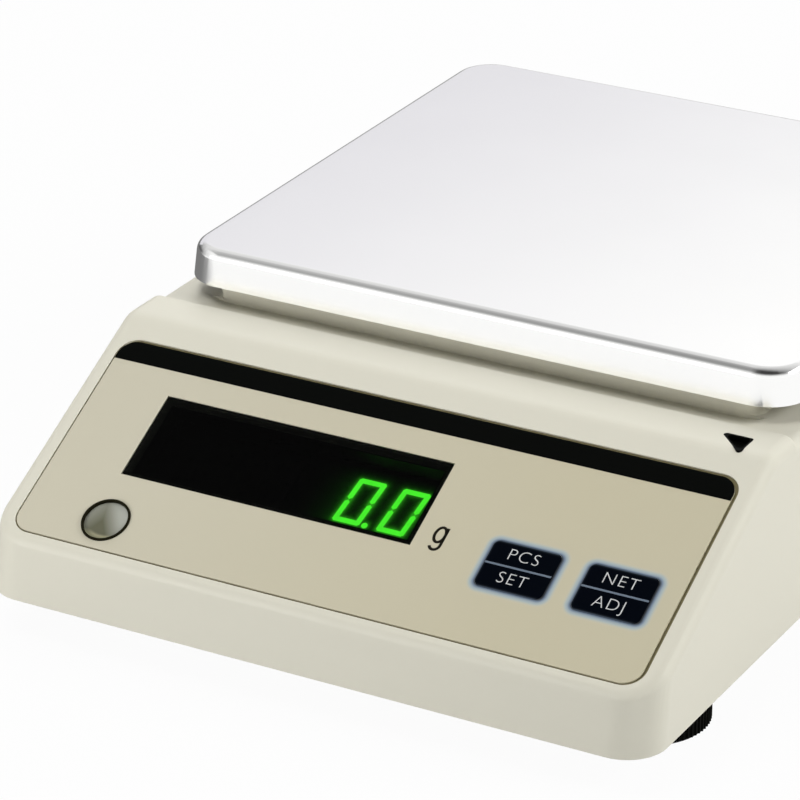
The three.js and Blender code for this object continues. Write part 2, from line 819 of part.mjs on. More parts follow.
function levelBezel() {
  return without(
    rod(levelRadius, levelRingLength + levelRingProud).translate(levelX, levelUp, -levelRingLength),
    rod(levelRadius - levelRingWidth, levelRingLength + levelRingProud + 2 * cutOverrun)
      .translate(levelX, levelUp, -levelRingLength - cutOverrun),
  );
}

function levelLens() {
  return rod(levelRadius - levelRingWidth - fitGap, levelLensThickness)
    .translate(levelX, levelUp, -levelLensDrop - levelLensThickness);
}

// The vial stands upright on the base plate, just behind its opening in the panel
function levelCupPlace() {
  const opening = new THREE.Vector3(levelX, levelUp, 0).applyMatrix4(panelFrame);
  return { x: opening.x, y: opening.y + levelCupSetback, z: levelCupTop - levelCupHeight };
}

function levelCup() {
  const place = levelCupPlace();
  return without(
    rod(levelCupRadius, levelCupHeight, plainSides),
    rod(levelCupRadius - levelCupWall, levelCupHeight, plainSides).translate(0, 0, levelCupFloor),
  ).translate([place.x, place.y, place.z]);
}

function weighingPan() {
  return without(
    trayBody(panWidth, panDepth, panRimZ, panRimZ + panHeight, panCornerRadius, panEdgeRadius, panFlare),
    trayBody(
      panWidth - 2 * panGauge,
      panDepth - 2 * panGauge,
      panRimZ - cutOverrun,
      panUnderZ,
      panCornerRadius - panGauge,
      innerRadius(panEdgeRadius, panGauge),
      panFlare,
    ),
  ).translate([0, panCentreY, 0]);
}

function panSupport() {
  const spineDepth = cellLength;
  const spine = block(frameSpineWidth, spineDepth, frameThickness).translate(0, panCentreY, frameZ);
  const bars = [-1, 1].map((side) => (
    block(postSpanX + 2 * postRadius, frameBarWidth, frameThickness)
      .translate(0, panCentreY + side * postSpanY / 2, frameZ)
  ));
  const ribs = [-1, 1].map((side) => (
    block(frameRibWidth, spineDepth, frameThickness + frameRibHeight)
      .translate(side * (frameSpineWidth - frameRibWidth) / 2, panCentreY, frameZ)
  ));
  const shoulderZ = bufferZ - seatGap;
  const tipZ = bufferZ + bufferHeight - bufferCap - seatGap;
  const posts = postPlaces.flatMap(({ x, y }) => [
    rod(postRadius, shoulderZ - frameZ, smallSides).translate(x, y, frameZ),
    rod(postTipRadius, tipZ - frameZ, smallSides).translate(x, y, frameZ),
  ]);
  const boltHoles = boltOffsets.map((offset) => (
    screwHole(topBolt, frameThickness + 2 * cutOverrun).translate(0, cellFreeY + offset, frameZ - cutOverrun)
  ));
  return without(joined(spine, ...bars, ...ribs, ...posts), ...boltHoles);
}

function panBuffer(x, y) {
  return without(
    rod(bufferRadius, bufferHeight, smallSides),
    rod(postTipRadius + fitGap, bufferHeight - bufferCap + cutOverrun, smallSides)
      .translate(0, 0, -cutOverrun),
  ).translate([x, y, bufferZ]);
}

function loadCell() {
  const body = block(cellWidth, cellLength, cellHeight).translate(0, panCentreY, cellZ);
  const middleZ = cellZ + cellHeight / 2;
  const bores = [-1, 1].map((side) => (
    new THREE.CylinderGeometry(cellBoreRadius, cellBoreRadius, cellWidth + 2 * cutOverrun, plainSides)
      .rotateZ(quarterTurn)
      .translate(0, panCentreY + side * cellBoreSpacing / 2, middleZ)
  ));
  const slot = block(cellWidth + 2 * cutOverrun, cellBoreSpacing, cellSlotHeight)
    .translate(0, panCentreY, middleZ - cellSlotHeight / 2);
  const lowHoles = boltOffsets.map((offset) => (
    screwHole(cellBolt, cellHeight / 2).translate(0, cellFixedY + offset, cellZ - cutOverrun)
  ));
  const highHoles = boltOffsets.map((offset) => (
    screwHole(topBolt, cellHeight / 2).translate(0, cellFreeY + offset, middleZ + cutOverrun)
  ));
  return without(body, ...bores, slot, ...lowHoles, ...highHoles);
}

function cellBlock(y, z, height, bolt) {
  const holes = boltOffsets.map((offset) => (
    screwHole(bolt, height + 2 * cutOverrun).translate(0, y + offset, z - cutOverrun)
  ));
  return without(block(cellWidth, cellEndLength, height).translate(0, y, z), ...holes);
}

function mainBoard() {
  const z = baseTopZ + standoffHeight + seatGap;
  const holes = mainScrewPlaces.map(({ x, y }) => (
    screwHole(boardScrew, boardThickness + 2 * cutOverrun).translate(x, y, z - cutOverrun)
  ));
  return without(
    block(mainBoardWidth, mainBoardDepth, boardThickness).translate(mainBoardCentreX, mainBoardCentreY, z),
    ...holes,
  );
}

// The ribbon leaves the display board's back squarely, bends level, and bends down onto the main board
function ribbonCable() {
  const half = ribbonThickness / 2;
  const start = new THREE.Vector3(0, ribbonStartUp, -boardBackDepth - seatGap).applyMatrix4(panelFrame);
  const mainTopZ = baseTopZ + standoffHeight + seatGap + boardThickness;
  const endY = mainBoardCentreY - mainBoardDepth / 2 + standoffInset;
  const path = [];
  const inward = quarterTurn - panelAngle;
  const drop = ribbonBend * (1 - Math.cos(inward));
  const straight = (start.z - ribbonRunHeight - drop) / Math.sin(inward);
  const bendStart = new THREE.Vector2(start.y + straight * Math.cos(inward), ribbonRunHeight + drop);
  const bendCentre = new THREE.Vector2(
    bendStart.x + ribbonBend * Math.sin(inward),
    ribbonRunHeight + ribbonBend,
  );
  path.push({ y: start.y, z: start.z, lean: -inward });
  for (let step = 0; step <= ribbonBendSteps; step += 1) {
    const lean = -inward * (1 - step / ribbonBendSteps);
    path.push({
      y: bendCentre.x + ribbonBend * Math.sin(lean),
      z: bendCentre.y - ribbonBend * Math.cos(lean),
      lean,
    });
  }
  const endBend = ribbonRunHeight - mainTopZ - seatGap;
  for (let step = 0; step <= ribbonBendSteps; step += 1) {
    const lean = -quarterTurn * step / ribbonBendSteps;
    path.push({
      y: endY - endBend - endBend * Math.sin(lean),
      z: ribbonRunHeight - endBend + endBend * Math.cos(lean),
      lean,
    });
  }
  const upper = path.map(({ y, z, lean }) => [y - half * Math.sin(lean), z + half * Math.cos(lean)]);
  const lower = path.map(({ y, z, lean }) => [y + half * Math.sin(lean), z - half * Math.cos(lean)]);
  return sideProfile([...lower, ...upper.reverse()], ribbonWidth).translate(ribbonX, 0, 0);
}

// Rear connections, each with its outer face towards +Y
const rearFloorY = rearYAt(rearPocketZ) - rearPocketDepth;
const bezelFaceY = rearFloorY + seatGap + switchBezelThickness;
const rockerPivotY = bezelFaceY - rockerPivotDepth;
const rockerCornerReach = Math.hypot(rockerHalfLength, rockerPivotDepth + rockerRise);

function powerSwitchBody() {
  const bezel = sideBlock(switchBezelWidth, switchBezelHeight, bezelFaceY - switchBezelThickness, bezelFaceY);
  const body = sideBlock(switchBodyWidth, switchBodyHeight, bezelFaceY - switchBodyDepth, bezelFaceY);
  const cavity = sideBlock(
    rockerWidth + 2 * rockerClearance,
    2 * (rockerCornerReach + rockerClearance),
    rockerPivotY - rockerPivotDepth - rockerKeel - rockerClearance,
    bezelFaceY + cutOverrun,
  );
  return without(joined(bezel, body), cavity).translate([powerSwitchX, 0, rearPocketZ]);
}

// A block given by its width, height and the range of y that it fills, centred on x = 0 and z = 0
function sideBlock(width, height, lowY, highY) {
  return new THREE.BoxGeometry(width, highY - lowY, height).translate(0, (lowY + highY) / 2, 0);
}

function powerRocker() {
  const faceY = rockerPivotDepth;
  const outline = [
    [-rockerPivotDepth / 2, -rockerHalfLength],
    [faceY + rockerRise, -rockerHalfLength],
    [faceY, 0],
    [faceY + rockerRise, rockerHalfLength],
    [-rockerPivotDepth / 2, rockerHalfLength],
    [-rockerPivotDepth, rockerKeelWidth / 2],
    [-rockerPivotDepth - rockerKeel / 2, rockerKeelWidth / 2],
    [-rockerPivotDepth - rockerKeel / 2, -rockerKeelWidth / 2],
    [-rockerPivotDepth, -rockerKeelWidth / 2],
  ];
  return sideProfile(outline, rockerWidth)
    .rotateX(THREE.MathUtils.degToRad(rockerRestDeg))
    .translate(powerSwitchX, rockerPivotY, rearPocketZ);
}

function dcInlet() {
  const wallInnerY = rearFloorY - housingWall;
  const behindY = wallInnerY - seatGap;
  const noseLength = housingWall + seatGap;
  const alongY = (geometry) => geometry.rotateX(-quarterTurn).translate(jackX, 0, rearPocketZ);
  const body = sideBlock(jackWidth, jackHeight, behindY - jackDepth, behindY)
    .translate(jackX, 0, rearPocketZ);
  const nose = alongY(rod(jackNoseRadius, noseLength + cutOverrun)).translate(0, behindY - cutOverrun, 0);
  const bore = alongY(rod(jackBoreRadius, jackBoreDepth + cutOverrun, smallSides))
    .translate(0, behindY + noseLength - jackBoreDepth, 0);
  const pin = alongY(rod(jackPinRadius, jackBoreDepth - jackPinShort + cutOverrun, smallSides))
    .translate(0, behindY + noseLength - jackBoreDepth - cutOverrun, 0);
  return joined(without(joined(body, nose), bore), pin);
}

// Levelling foot: thumb wheel, stud and pad, centred on the Z axis
function footWheel() {
  const outline = new THREE.Shape();
  for (let rib = 0; rib < 2 * wheelRibCount; rib += 1) {
    const turn = Math.PI * rib / wheelRibCount;
    const reach = rib % 2 === 0 ? wheelRadius : wheelRadius - wheelRibDepth;
    const place = [reach * Math.cos(turn), reach * Math.sin(turn)];
    if (rib === 0) outline.moveTo(...place);
    else outline.lineTo(...place);
  }
  outline.closePath();
  const padSeatZ = padThickness + seatGap;
  return without(
    slab(outline, wheelHeight).translate(0, 0, padProud),
    rod(padRadius + fitGap, padSeatZ - padProud + cutOverrun).translate(0, 0, padProud - cutOverrun),
    rod(studRadius + fitGap, wheelHeight, smallSides).translate(0, 0, padSeatZ + wheelWebThickness),
  );
}

function footStud() {
  const bottomZ = padThickness + seatGap + wheelWebThickness + seatGap;
  const topZ = baseTopZ + footBossHeight + studReach;
  return rod(studRadius, topZ - bottomZ, smallSides).translate(0, 0, bottomZ);
}

function footPad() {
  return rod(padRadius, padThickness);
}

// Finishes
const finishes = {
  cream: { color: 0xdedccc, roughness: 0.45, metalness: 0 },
  film: { color: 0xc8c2a8, roughness: 0.4, metalness: 0 },
  smoked: { color: 0x0a0d0b, roughness: 0.12, metalness: 0 },
  keyBlue: { color: 0x0a1020, roughness: 0.35, metalness: 0 },
  steel: { color: 0xd8d9da, roughness: 0.22, metalness: 1 },
  aluminium: { color: 0xb9bcbf, roughness: 0.4, metalness: 1 },
  zinc: { color: 0xc5c7c4, roughness: 0.3, metalness: 1 },
  blackPlastic: { color: 0x17181a, roughness: 0.5, metalness: 0 },
  rubber: { color: 0x1d1d1e, roughness: 0.85, metalness: 0 },
  greyPlastic: { color: 0x8d8f8c, roughness: 0.5, metalness: 0 },
  board: { color: 0x1f5b35, roughness: 0.5, metalness: 0 },
  lens: { color: 0x8b8e80, roughness: 0.08, metalness: 0 },
  vial: { color: 0xb7bd9a, roughness: 0.15, metalness: 0 },
};

const balance = new THREE.Group();
const panel = new THREE.Group();
panelFrame.decompose(panel.position, panel.quaternion, panel.scale);
balance.add(panel);

function addPiece(parent, name, shape, finish, x = 0, y = 0, z = 0) {
  const piece = new THREE.Mesh(geometryOf(shape), new THREE.MeshStandardMaterial(finishes[finish]));
  piece.name = name;
  piece.position.set(x, y, z);
  parent.add(piece);
  return piece;
}

addPiece(balance, 'upper_housing', upperHousing(), 'cream');
addPiece(balance, 'base_plate', basePlate(), 'greyPlastic');

addPiece(panel, 'front_overlay', frontOverlay(), 'film');
addPiece(panel, 'display_window', displayWindow(), 'smoked');
addPiece(panel, 'display_board', displayBoard(), 'board');
addPiece(panel, 'led_module_left', ledModule(-1), 'blackPlastic');
addPiece(panel, 'led_module_right', ledModule(1), 'blackPlastic');
['left', 'right'].forEach((side, index) => {
  addPiece(panel, `key_cap_${side}`, keyCap(keyCentresX[index]), 'keyBlue');
  addPiece(panel, `key_switch_${side}`, keySwitch(keyCentresX[index]), 'blackPlastic');
});
boardPostPlaces.forEach(({ name, x, up }) => {
  addPiece(panel, `display_board_screw_${name}`, screw(boardScrew), 'zinc', x, up, -boardBackDepth - seatGap);
});
addPiece(panel, 'level_bezel', levelBezel(), 'blackPlastic');
addPiece(panel, 'level_lens', levelLens(), 'lens');
addPiece(balance, 'level_vial_cup', levelCup(), 'vial');

addPiece(balance, 'weighing_pan', weighingPan(), 'steel');
addPiece(balance, 'pan_support_frame', panSupport(), 'aluminium');
postPlaces.forEach(({ name, x, y }) => {
  addPiece(balance, `pan_buffer_${name}`, panBuffer(x, y), 'rubber');
});
addPiece(balance, 'load_cell', loadCell(), 'aluminium');
const baseBlock = cellBlock(cellFixedY, cellBlockZ, baseBlockHeight, cellBolt);
const topBlock = cellBlock(cellFreeY, topBlockZ, topBlockHeight, topBolt);
addPiece(balance, 'load_cell_base_block', baseBlock, 'aluminium');
addPiece(balance, 'load_cell_top_block', topBlock, 'aluminium');
boltOffsets.forEach((offset, index) => {
  const headSeatZ = baseBottomZ + cellBolt.headHeight;
  const y = cellFixedY + offset;
  addPiece(balance, `load_cell_base_bolt_${index + 1}`, screw(cellBolt), 'zinc', 0, y, headSeatZ);
  const bolt = addPiece(
    balance,
    `load_cell_top_bolt_${index + 1}`,
    screw(topBolt),
    'zinc',
    0,
    cellFreeY + offset,
    frameTopZ + seatGap,
  );
  bolt.rotation.x = Math.PI;
});
stopPlaces.forEach(({ name, x, y }) => {
  const seatZ = frameZ - stopGap - stopScrew.headHeight;
  const stop = addPiece(balance, `overload_stop_${name}`, screw(stopScrew), 'zinc', x, y, seatZ);
  stop.rotation.x = Math.PI;
});

addPiece(balance, 'main_board', mainBoard(), 'board');
mainScrewPlaces.forEach(({ name, x, y }) => {
  const headSeatZ = baseTopZ + standoffHeight + seatGap + boardThickness + seatGap;
  const fixing = addPiece(balance, `main_board_screw_${name}`, screw(boardScrew), 'zinc', x, y, headSeatZ);
  fixing.rotation.x = Math.PI;
});
addPiece(balance, 'ribbon_cable', ribbonCable(), 'greyPlastic');

addPiece(balance, 'power_switch_body', powerSwitchBody(), 'blackPlastic');
addPiece(balance, 'power_rocker', powerRocker(), 'blackPlastic');
addPiece(balance, 'dc_inlet', dcInlet(), 'blackPlastic');

columnPlaces.forEach(({ name, x, y }) => {
  const headSeatZ = baseBottomZ + housingScrew.headHeight;
  addPiece(balance, `housing_screw_${name}`, screw(housingScrew), 'zinc', x, y, headSeatZ);
});
footPlaces.forEach(({ name, x, y }) => {
  addPiece(balance, `foot_wheel_${name}`, footWheel(), 'blackPlastic', x, y, 0);
  addPiece(balance, `foot_stud_${name}`, footStud(), 'zinc', x, y, 0);
  addPiece(balance, `foot_pad_${name}`, footPad(), 'rubber', x, y, 0);
});

export default balance;
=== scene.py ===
import json
import math

import bmesh
import bpy
from bpy.props import FloatProperty, FloatVectorProperty, IntProperty, PointerProperty, StringProperty
from mathutils import Matrix, Vector


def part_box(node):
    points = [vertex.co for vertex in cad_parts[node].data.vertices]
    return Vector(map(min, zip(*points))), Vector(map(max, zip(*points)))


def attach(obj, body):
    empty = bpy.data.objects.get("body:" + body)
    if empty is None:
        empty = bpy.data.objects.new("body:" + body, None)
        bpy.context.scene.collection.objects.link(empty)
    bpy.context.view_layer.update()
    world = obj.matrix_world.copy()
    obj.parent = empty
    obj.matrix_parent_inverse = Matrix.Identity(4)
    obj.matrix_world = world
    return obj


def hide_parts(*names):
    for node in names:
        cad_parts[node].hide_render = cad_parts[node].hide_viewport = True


bl_info = {
    "name": "Electronic Balance",
    "version": (1, 0, 0),
    "blender": (4, 5, 0),
    "location": "3D View > Sidebar > Balance",
    "description": "Dresses the frame of an electronic balance with finished shells, prints and materials",
    "category": "Object",
}

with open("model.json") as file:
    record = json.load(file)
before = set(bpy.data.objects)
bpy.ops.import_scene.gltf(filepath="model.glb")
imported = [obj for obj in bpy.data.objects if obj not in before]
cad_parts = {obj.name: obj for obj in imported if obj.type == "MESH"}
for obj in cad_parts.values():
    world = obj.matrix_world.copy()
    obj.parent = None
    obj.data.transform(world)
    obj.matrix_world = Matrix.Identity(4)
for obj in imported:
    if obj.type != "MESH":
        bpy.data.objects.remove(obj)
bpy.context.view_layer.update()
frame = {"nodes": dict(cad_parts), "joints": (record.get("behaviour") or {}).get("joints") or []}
MM = 0.001
QUARTER = math.pi / 2


def node_size(node):
    """Width, depth and height of a CAD node, and its centre, in millimetres."""
    low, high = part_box(node)
    return (Vector(high) - Vector(low)) / MM, (Vector(high) + Vector(low)) / 2 / MM


def joint_named(name):
    """The record's joint of that name."""
    return next(joint for joint in frame["joints"] if joint["name"] == name)


def place_with_axes(origin, right, up, out):
    """A place at an origin, turned to three axes."""
    return Matrix.Translation(origin) @ Matrix((right, up, out)).transposed().to_4x4()


# Housing, in millimetres
HOUSING_SIZE, HOUSING_CENTRE = node_size("upper_housing")
HOUSING_WIDTH = HOUSING_SIZE.x
HOUSING_DEPTH = HOUSING_SIZE.y
RIM_Z = HOUSING_CENTRE.z - HOUSING_SIZE.z / 2
PLINTH_TOP_Z = HOUSING_CENTRE.z + HOUSING_SIZE.z / 2
HOUSING_WALL = 2.5
SIDE_DRAFT = math.radians(1)
CORNER_RADIUS = 11
EDGE_RADIUS = 3.6
INNER_EDGE_RADIUS = 0.6
FRONT_EDGE_Z = RIM_Z + 14.2
FRONT_LEAN = 2.7
LEDGE_Z = RIM_Z + 52
LEDGE_DEPTH = 12.1
LEDGE_BEND_RADIUS = 9
LIP_EDGE_RADIUS = 1
LIP_BACK = 1.2
PLINTH_HEIGHT = 6
DECK_Z = PLINTH_TOP_Z - PLINTH_HEIGHT
PLINTH_SIDE_MARGIN = 15.5
PLINTH_REAR_MARGIN = 12
PLINTH_SETBACK = 11.1
PLINTH_CORNER_RADIUS = 3.5
PLINTH_EDGE_RADIUS = 1.2
TROUGH_DEPTH = 1.1
TROUGH_FROM_LIP = 1.5
TROUGH_BEYOND_PLINTH = 1.5
TROUGH_RAMP = 5
POST_HOLE_RADIUS = 7.5
POCKET_WIDTH = 46
POCKET_HEIGHT = 25
POCKET_DEPTH = 4.2
POCKET_RADIUS = 2
POCKET_FROM_INLET = 13
SWITCH_OPENING_WIDTH = 13
SWITCH_OPENING_HEIGHT = 19
INLET_HOLE_RADIUS = 4.5
FRONT_Y = HOUSING_CENTRE.y - HOUSING_DEPTH / 2
REAR_Y = HOUSING_CENTRE.y + HOUSING_DEPTH / 2
FIT_GAP = 0.3
SEAT_GAP = 0.3
CUT_OVERRUN = 1

# Panel frame: x across, y up the slope, z out of the panel
PANEL_OUT = -Vector(joint_named("left_key_press")["axis"]).normalized()
PANEL_RIGHT = Vector((1, 0, 0))
PANEL_UP = PANEL_OUT.cross(PANEL_RIGHT)
PANEL_SLOPE = math.atan2(PANEL_UP.z, PANEL_UP.y)
FILM_THICKNESS = 0.5
OVERLAY_SIZE, OVERLAY_CENTRE = node_size("front_overlay")
OVERLAY_LIFT = 0.7
OVERLAY_TRIM = 1.6
OVERLAY_WIDTH = OVERLAY_SIZE.x - OVERLAY_TRIM
OVERLAY_HEIGHT = (OVERLAY_SIZE.y - FILM_THICKNESS * PANEL_UP.z) / PANEL_UP.y - OVERLAY_LIFT
OVERLAY_UP = OVERLAY_LIFT + OVERLAY_HEIGHT / 2
OVERLAY_CORNER_RADIUS = 5
PANEL_FOOT = Vector((
    0,
    OVERLAY_CENTRE.y - OVERLAY_SIZE.y / 2,
    OVERLAY_CENTRE.z - OVERLAY_SIZE.z / 2 + FILM_THICKNESS * PANEL_OUT.z,
))
PANEL = place_with_axes(PANEL_FOOT, PANEL_RIGHT, PANEL_UP, PANEL_OUT)

# Places on the panel
STRIPE_HEIGHT = 6.55
WINDOW_SIZE, WINDOW_BOX_CENTRE = node_size("display_window")
WINDOW_WIDTH = WINDOW_SIZE.x
WINDOW_THICKNESS = 1.2
WINDOW_HEIGHT = (WINDOW_SIZE.y - WINDOW_THICKNESS * PANEL_UP.z) / PANEL_UP.y
WINDOW_PLACE = PANEL.inverted() @ WINDOW_BOX_CENTRE
WINDOW_X = WINDOW_PLACE.x
WINDOW_UP = WINDOW_PLACE.y
WINDOW_RIM = 1.5
LINER_WALL = 0.3
KEY_WIDTH = 18.6
KEY_HEIGHT = 14.7
KEY_CORNER_RADIUS = 2.2
KEY_PROUD = 0.15
KEY_GAP = 0.03
KEY_UP = 24.7
KEY_PLACES = {"left": 46.5, "right": 73.0}
KEY_SKIRT = 1.9
KEY_BEVEL = 0.06
KEY_FLANGE_PROUD = 1.2
KEY_FLANGE_LOW = -3.8
KEY_FLANGE_TOP = -2.8
KEY_NECK_LOW = -3.0
KEY_STEM_SIDE = 4
KEY_STEM_LOW = -9.3
KEY_STEM_TOP = -2.9
KEY_FRAME = 2.9
KEY_PRINT_WIDER = 0.31
KEY_PRINT_TRIM = 0.28
KEY_PRINT_RIGHT = 0.21
KEY_PRINT_DOWN = 0.16
KEY_DIVIDER_SUNK = 0.02
KEY_EDGE_PALE = 1.25
KEY_FADE = 2.3
LEVEL_SIZE, LEVEL_BOX_CENTRE = node_size("level_bezel")
LEVEL_RIGHT = 0.35
LEVEL_X = LEVEL_BOX_CENTRE.x + LEVEL_RIGHT
LEVEL_UP = 9.45
LEVEL_TRIM = 0.1
LEVEL_RADIUS = LEVEL_SIZE.x / 2 - LEVEL_TRIM
LEVEL_RING_WIDTH = 0.6
LEVEL_LENS_RISE = 0.25
LEVEL_LENS_EDGE = -0.35
LEVEL_RING_PROUD = 0.5
LEVEL_RING_LENGTH = 3.2
LEVEL_RING_FLATNESS = 0.6
LEVEL_FACE_GAP = 0.02
LEVEL_FACE_THICKNESS = 1
UNIT_LETTER_X = 22.65
UNIT_LETTER_UP = 29.1
UNIT_LETTER_LINE = 0.8
UNIT_BOWL = Vector((1.42, 2.3))
UNIT_STEM_TOP = 2.35
UNIT_STEM_LOW = -3.1
UNIT_HOOK = Vector((1.42, 1.55))
PRINT_THICKNESS = 0.03
FILM_GAP = 0.08
GROOVE_GAP = 0.70
GROOVE_RIGHT = 0.30
GROOVE_UP = 0.15
FILM_BEVEL = 0.08
CAPITAL_SHARE = 0.72
LETTER_THINNING = 0.018
LETTER_SPACING = 1.14

# Three-cornered pocket in the ledge, made dark inside by a black sheet of painted shade
NOTCH_SIDE = 8.1
NOTCH_CORNER = 0.9
NOTCH_DEPTH = 1.8
NOTCH_FROM_SIDE = 8.8
NOTCH_FROM_LIP = 5.0
NOTCH_GAP = 0.05
NOTCH_SHADE_SHEET = 0.3
NOTCH_SHADE_SHEET_NARROWER = 2
NOTCH_SHIFT = 0.3

# Light-emitting digits
LED_RECESS = 6.9
DIGIT_PITCH = 12.7
DIGIT_COUNT = 6
DIGIT_HEIGHT = 14.2
DIGIT_WIDTH = 7.9
DIGIT_SLANT = math.radians(6.5)
DIGIT_SHIFT = Vector((0.7, -0.3))
SEGMENT_WIDTH = 1.45
SEGMENT_GAP = 0.2
SEGMENT_CORNER_CUT = 0.55
SEGMENT_RAISE = 0.12
POST_END_SHARE = 0.35
UNLIT_RAISE_SHARE = 0.5
HALO_RAISE_SHARE = 0.8
POINT_RADIUS = 0.85
POINT_SIDES = 24
POINT_OFFSET = Vector((4.6, -6.5))
SEGMENTS_OF_ZERO = "abcdef"

# Light that spills round the lit digits, in millimetres and cells
HALO_WIDTH = 40
HALO_HEIGHT = 22
HALO_CELLS_PER_MM = 3
HALO_FADE_SIDE = 24
HALO_FADE_TOP = 20
HALO_NEAR = 0.30
HALO_NEAR_REACH = 0.42
HALO_FAR = 0.030
HALO_FAR_REACH = 2.5

# Pan
PAN_SIZE, PAN_CENTRE = node_size("weighing_pan")
PAN_GAUGE = 0.8
PAN_FLARE = 0.8
PAN_CORNER_RADIUS = 12
PAN_EDGE_RADIUS = 3

# Thumb wheels, with the pad and stud that they hold
WHEEL_GROWTH = 0.7
WHEEL_DROP = 0.1
WHEEL_CHAMFER = 0.6
PAD_RADIUS = 11
PAD_TOP = 3.3
STUD_RADIUS = 3
RIB_SHARE = 0.52
RIB_ROOT = 0.15
RIB_POINTS = 7

# Studio, in metres
CAMERA_FOOT = Vector((0, -0.1266, 0.0271))
FLOOR_HALF_WIDTH = 6
FLOOR_GREY = 0.72
FLOOR_SHOWN = 0.96
BACK_CARD_PLACE = Matrix.Translation((-0.2, 0.36, 0.25)) @ Matrix.Rotation(QUARTER, 4, "X")
BACK_CARD_HALF_WIDTH = 0.7
BACK_CARD_HALF_HEIGHT = 0.12
BACK_CARD_STRENGTH = 1.08
CARD_DISTANCE = 0.9
LAMP_AIM = Vector((0, -0.03, 0.05))
# Name, direction, half width, half height and strength
GLOSS_CARDS = (
    ("front_card", Vector((-0.47, -0.82, 0.29)), 0.30, 0.15, 3.0),
    ("right_card", Vector((0.74, 0.24, 0.58)), 0.30, 0.14, 2.5),
)
# Name, width, height, direction and distance
LAMPS = (
    ("back_lamp", 0.60, 0.60, Vector((-0.42, 0.66, 0.60)), 1.3),
    ("front_lamp", 0.34, 0.30, Vector((-0.53, -0.84, 0.12)), 0.8),
    ("side_lamp", 0.50, 0.50, Vector((0.86, 0.15, 0.48)), 1.3),
    ("top_lamp", 0.60, 0.50, Vector((-0.20, -0.22, 0.955)), 1.3),
)

# Smoothness of the finished shells
BALL_SIDES = 40
CORNER_STEPS = 12
ROUND_SIDES = 72
RING_STEPS = 8
DOME_STEPS = 12
HULL_WELD = 0.0005
SMOOTH_WELD = 0.0002
SHARP_ANGLE = 32
ROUND_SHARP_ANGLE = 50


def half_width_at(z):
    """Half the housing's width at a height, with its draft."""
    return HOUSING_WIDTH / 2 - (z - RIM_Z) * math.tan(SIDE_DRAFT)


def rear_y_at(z):
    """The rear wall's place at a height, with its draft."""
    return REAR_Y - (z - RIM_Z) * math.tan(SIDE_DRAFT)


PANEL_FOOT_Y = FRONT_Y + (LEDGE_Z - FRONT_EDGE_Z) / math.tan(PANEL_SLOPE)
LIP_Y = PANEL_FOOT_Y + LEDGE_DEPTH
PLINTH_WIDTH = HOUSING_WIDTH - 2 * PLINTH_SIDE_MARGIN
PLINTH_DEPTH = REAR_Y - PLINTH_REAR_MARGIN - LIP_Y - PLINTH_SETBACK
PLINTH_Y = LIP_Y + PLINTH_SETBACK + PLINTH_DEPTH / 2


# Settings that a user would change
class HousingSettings(bpy.types.PropertyGroup):
    plastic: FloatVectorProperty(
        name="Plastic", description="Colour of the moulded cover",
        subtype="COLOR", size=3, min=0, max=1, default=(0.716, 0.695, 0.588),
    )
    base_plastic: FloatVectorProperty(
        name="Base plastic", description="Colour of the base plate",
        subtype="COLOR", size=3, min=0, max=1, default=(0.40, 0.39, 0.33),
    )
    edge_radius: FloatProperty(
        name="Edge radius", description="Rounding of the cover's outer edges",
        unit="LENGTH", subtype="DISTANCE", default=EDGE_RADIUS * MM, min=1.5 * MM, max=6 * MM,
    )


class PanelSettings(bpy.types.PropertyGroup):
    film: FloatVectorProperty(
        name="Film", description="Colour of the front overlay",
        subtype="COLOR", size=3, min=0, max=1, default=(0.588, 0.555, 0.434),
    )
    stripe_height: FloatProperty(
        name="Stripe height", description="Height of the dark stripe along the overlay's top",
        unit="LENGTH", subtype="DISTANCE", default=STRIPE_HEIGHT * MM, min=0, max=12 * MM,
    )
    key_ink: FloatVectorProperty(
        name="Key colour", description="Dark ground of the two keys",
        subtype="COLOR", size=3, min=0, max=1, default=(0.0005, 0.0014, 0.0036),
    )
    key_line: FloatVectorProperty(
        name="Key line", description="Outline and dividing line of the two keys",
        subtype="COLOR", size=3, min=0, max=1, default=(0.195, 0.26, 0.35),
    )
    line_width: FloatProperty(
        name="Line width", description="Width of the keys' printed outline",
        unit="LENGTH", subtype="DISTANCE", default=0.55 * MM, min=0.2 * MM, max=1.5 * MM,
    )
    legend_left_high: StringProperty(name="Left key, top", description="Upper legend", default="PCS")
    legend_left_low: StringProperty(name="Left key, bottom", description="Lower legend", default="SET")
    legend_right_high: StringProperty(name="Right key, top", description="Upper legend", default="NET")
    legend_right_low: StringProperty(name="Right key, bottom", description="Lower legend", default="ADJ")
    legend_height: FloatProperty(
        name="Legend height", description="Height of the keys' capital letters",
        unit="LENGTH", subtype="DISTANCE", default=3.55 * MM, min=1 * MM, max=6 * MM,
    )


class DisplaySettings(bpy.types.PropertyGroup):
    lit: FloatVectorProperty(
        name="Lit colour", description="Colour of a lit segment",
        subtype="COLOR", size=3, min=0, max=1, default=(0.085, 1.0, 0.035),
    )
    strength: FloatProperty(
        name="Brightness", description="Brightness of a lit segment",
        default=17.0, min=0, max=60,
    )
    digits: IntProperty(
        name="Digits", description="Number of digits behind the window",
        default=DIGIT_COUNT, min=1, max=8,
    )


class PanSettings(bpy.types.PropertyGroup):
    steel: FloatVectorProperty(
        name="Steel", description="Colour of the pan's stainless steel",
        subtype="COLOR", size=3, min=0, max=1, default=(0.975, 0.975, 0.965),
    )
    edge_radius: FloatProperty(
        name="Edge radius", description="Rounding between the pan's top and its rim",
        unit="LENGTH", subtype="DISTANCE", default=PAN_EDGE_RADIUS * MM, min=1 * MM, max=5 * MM,
    )


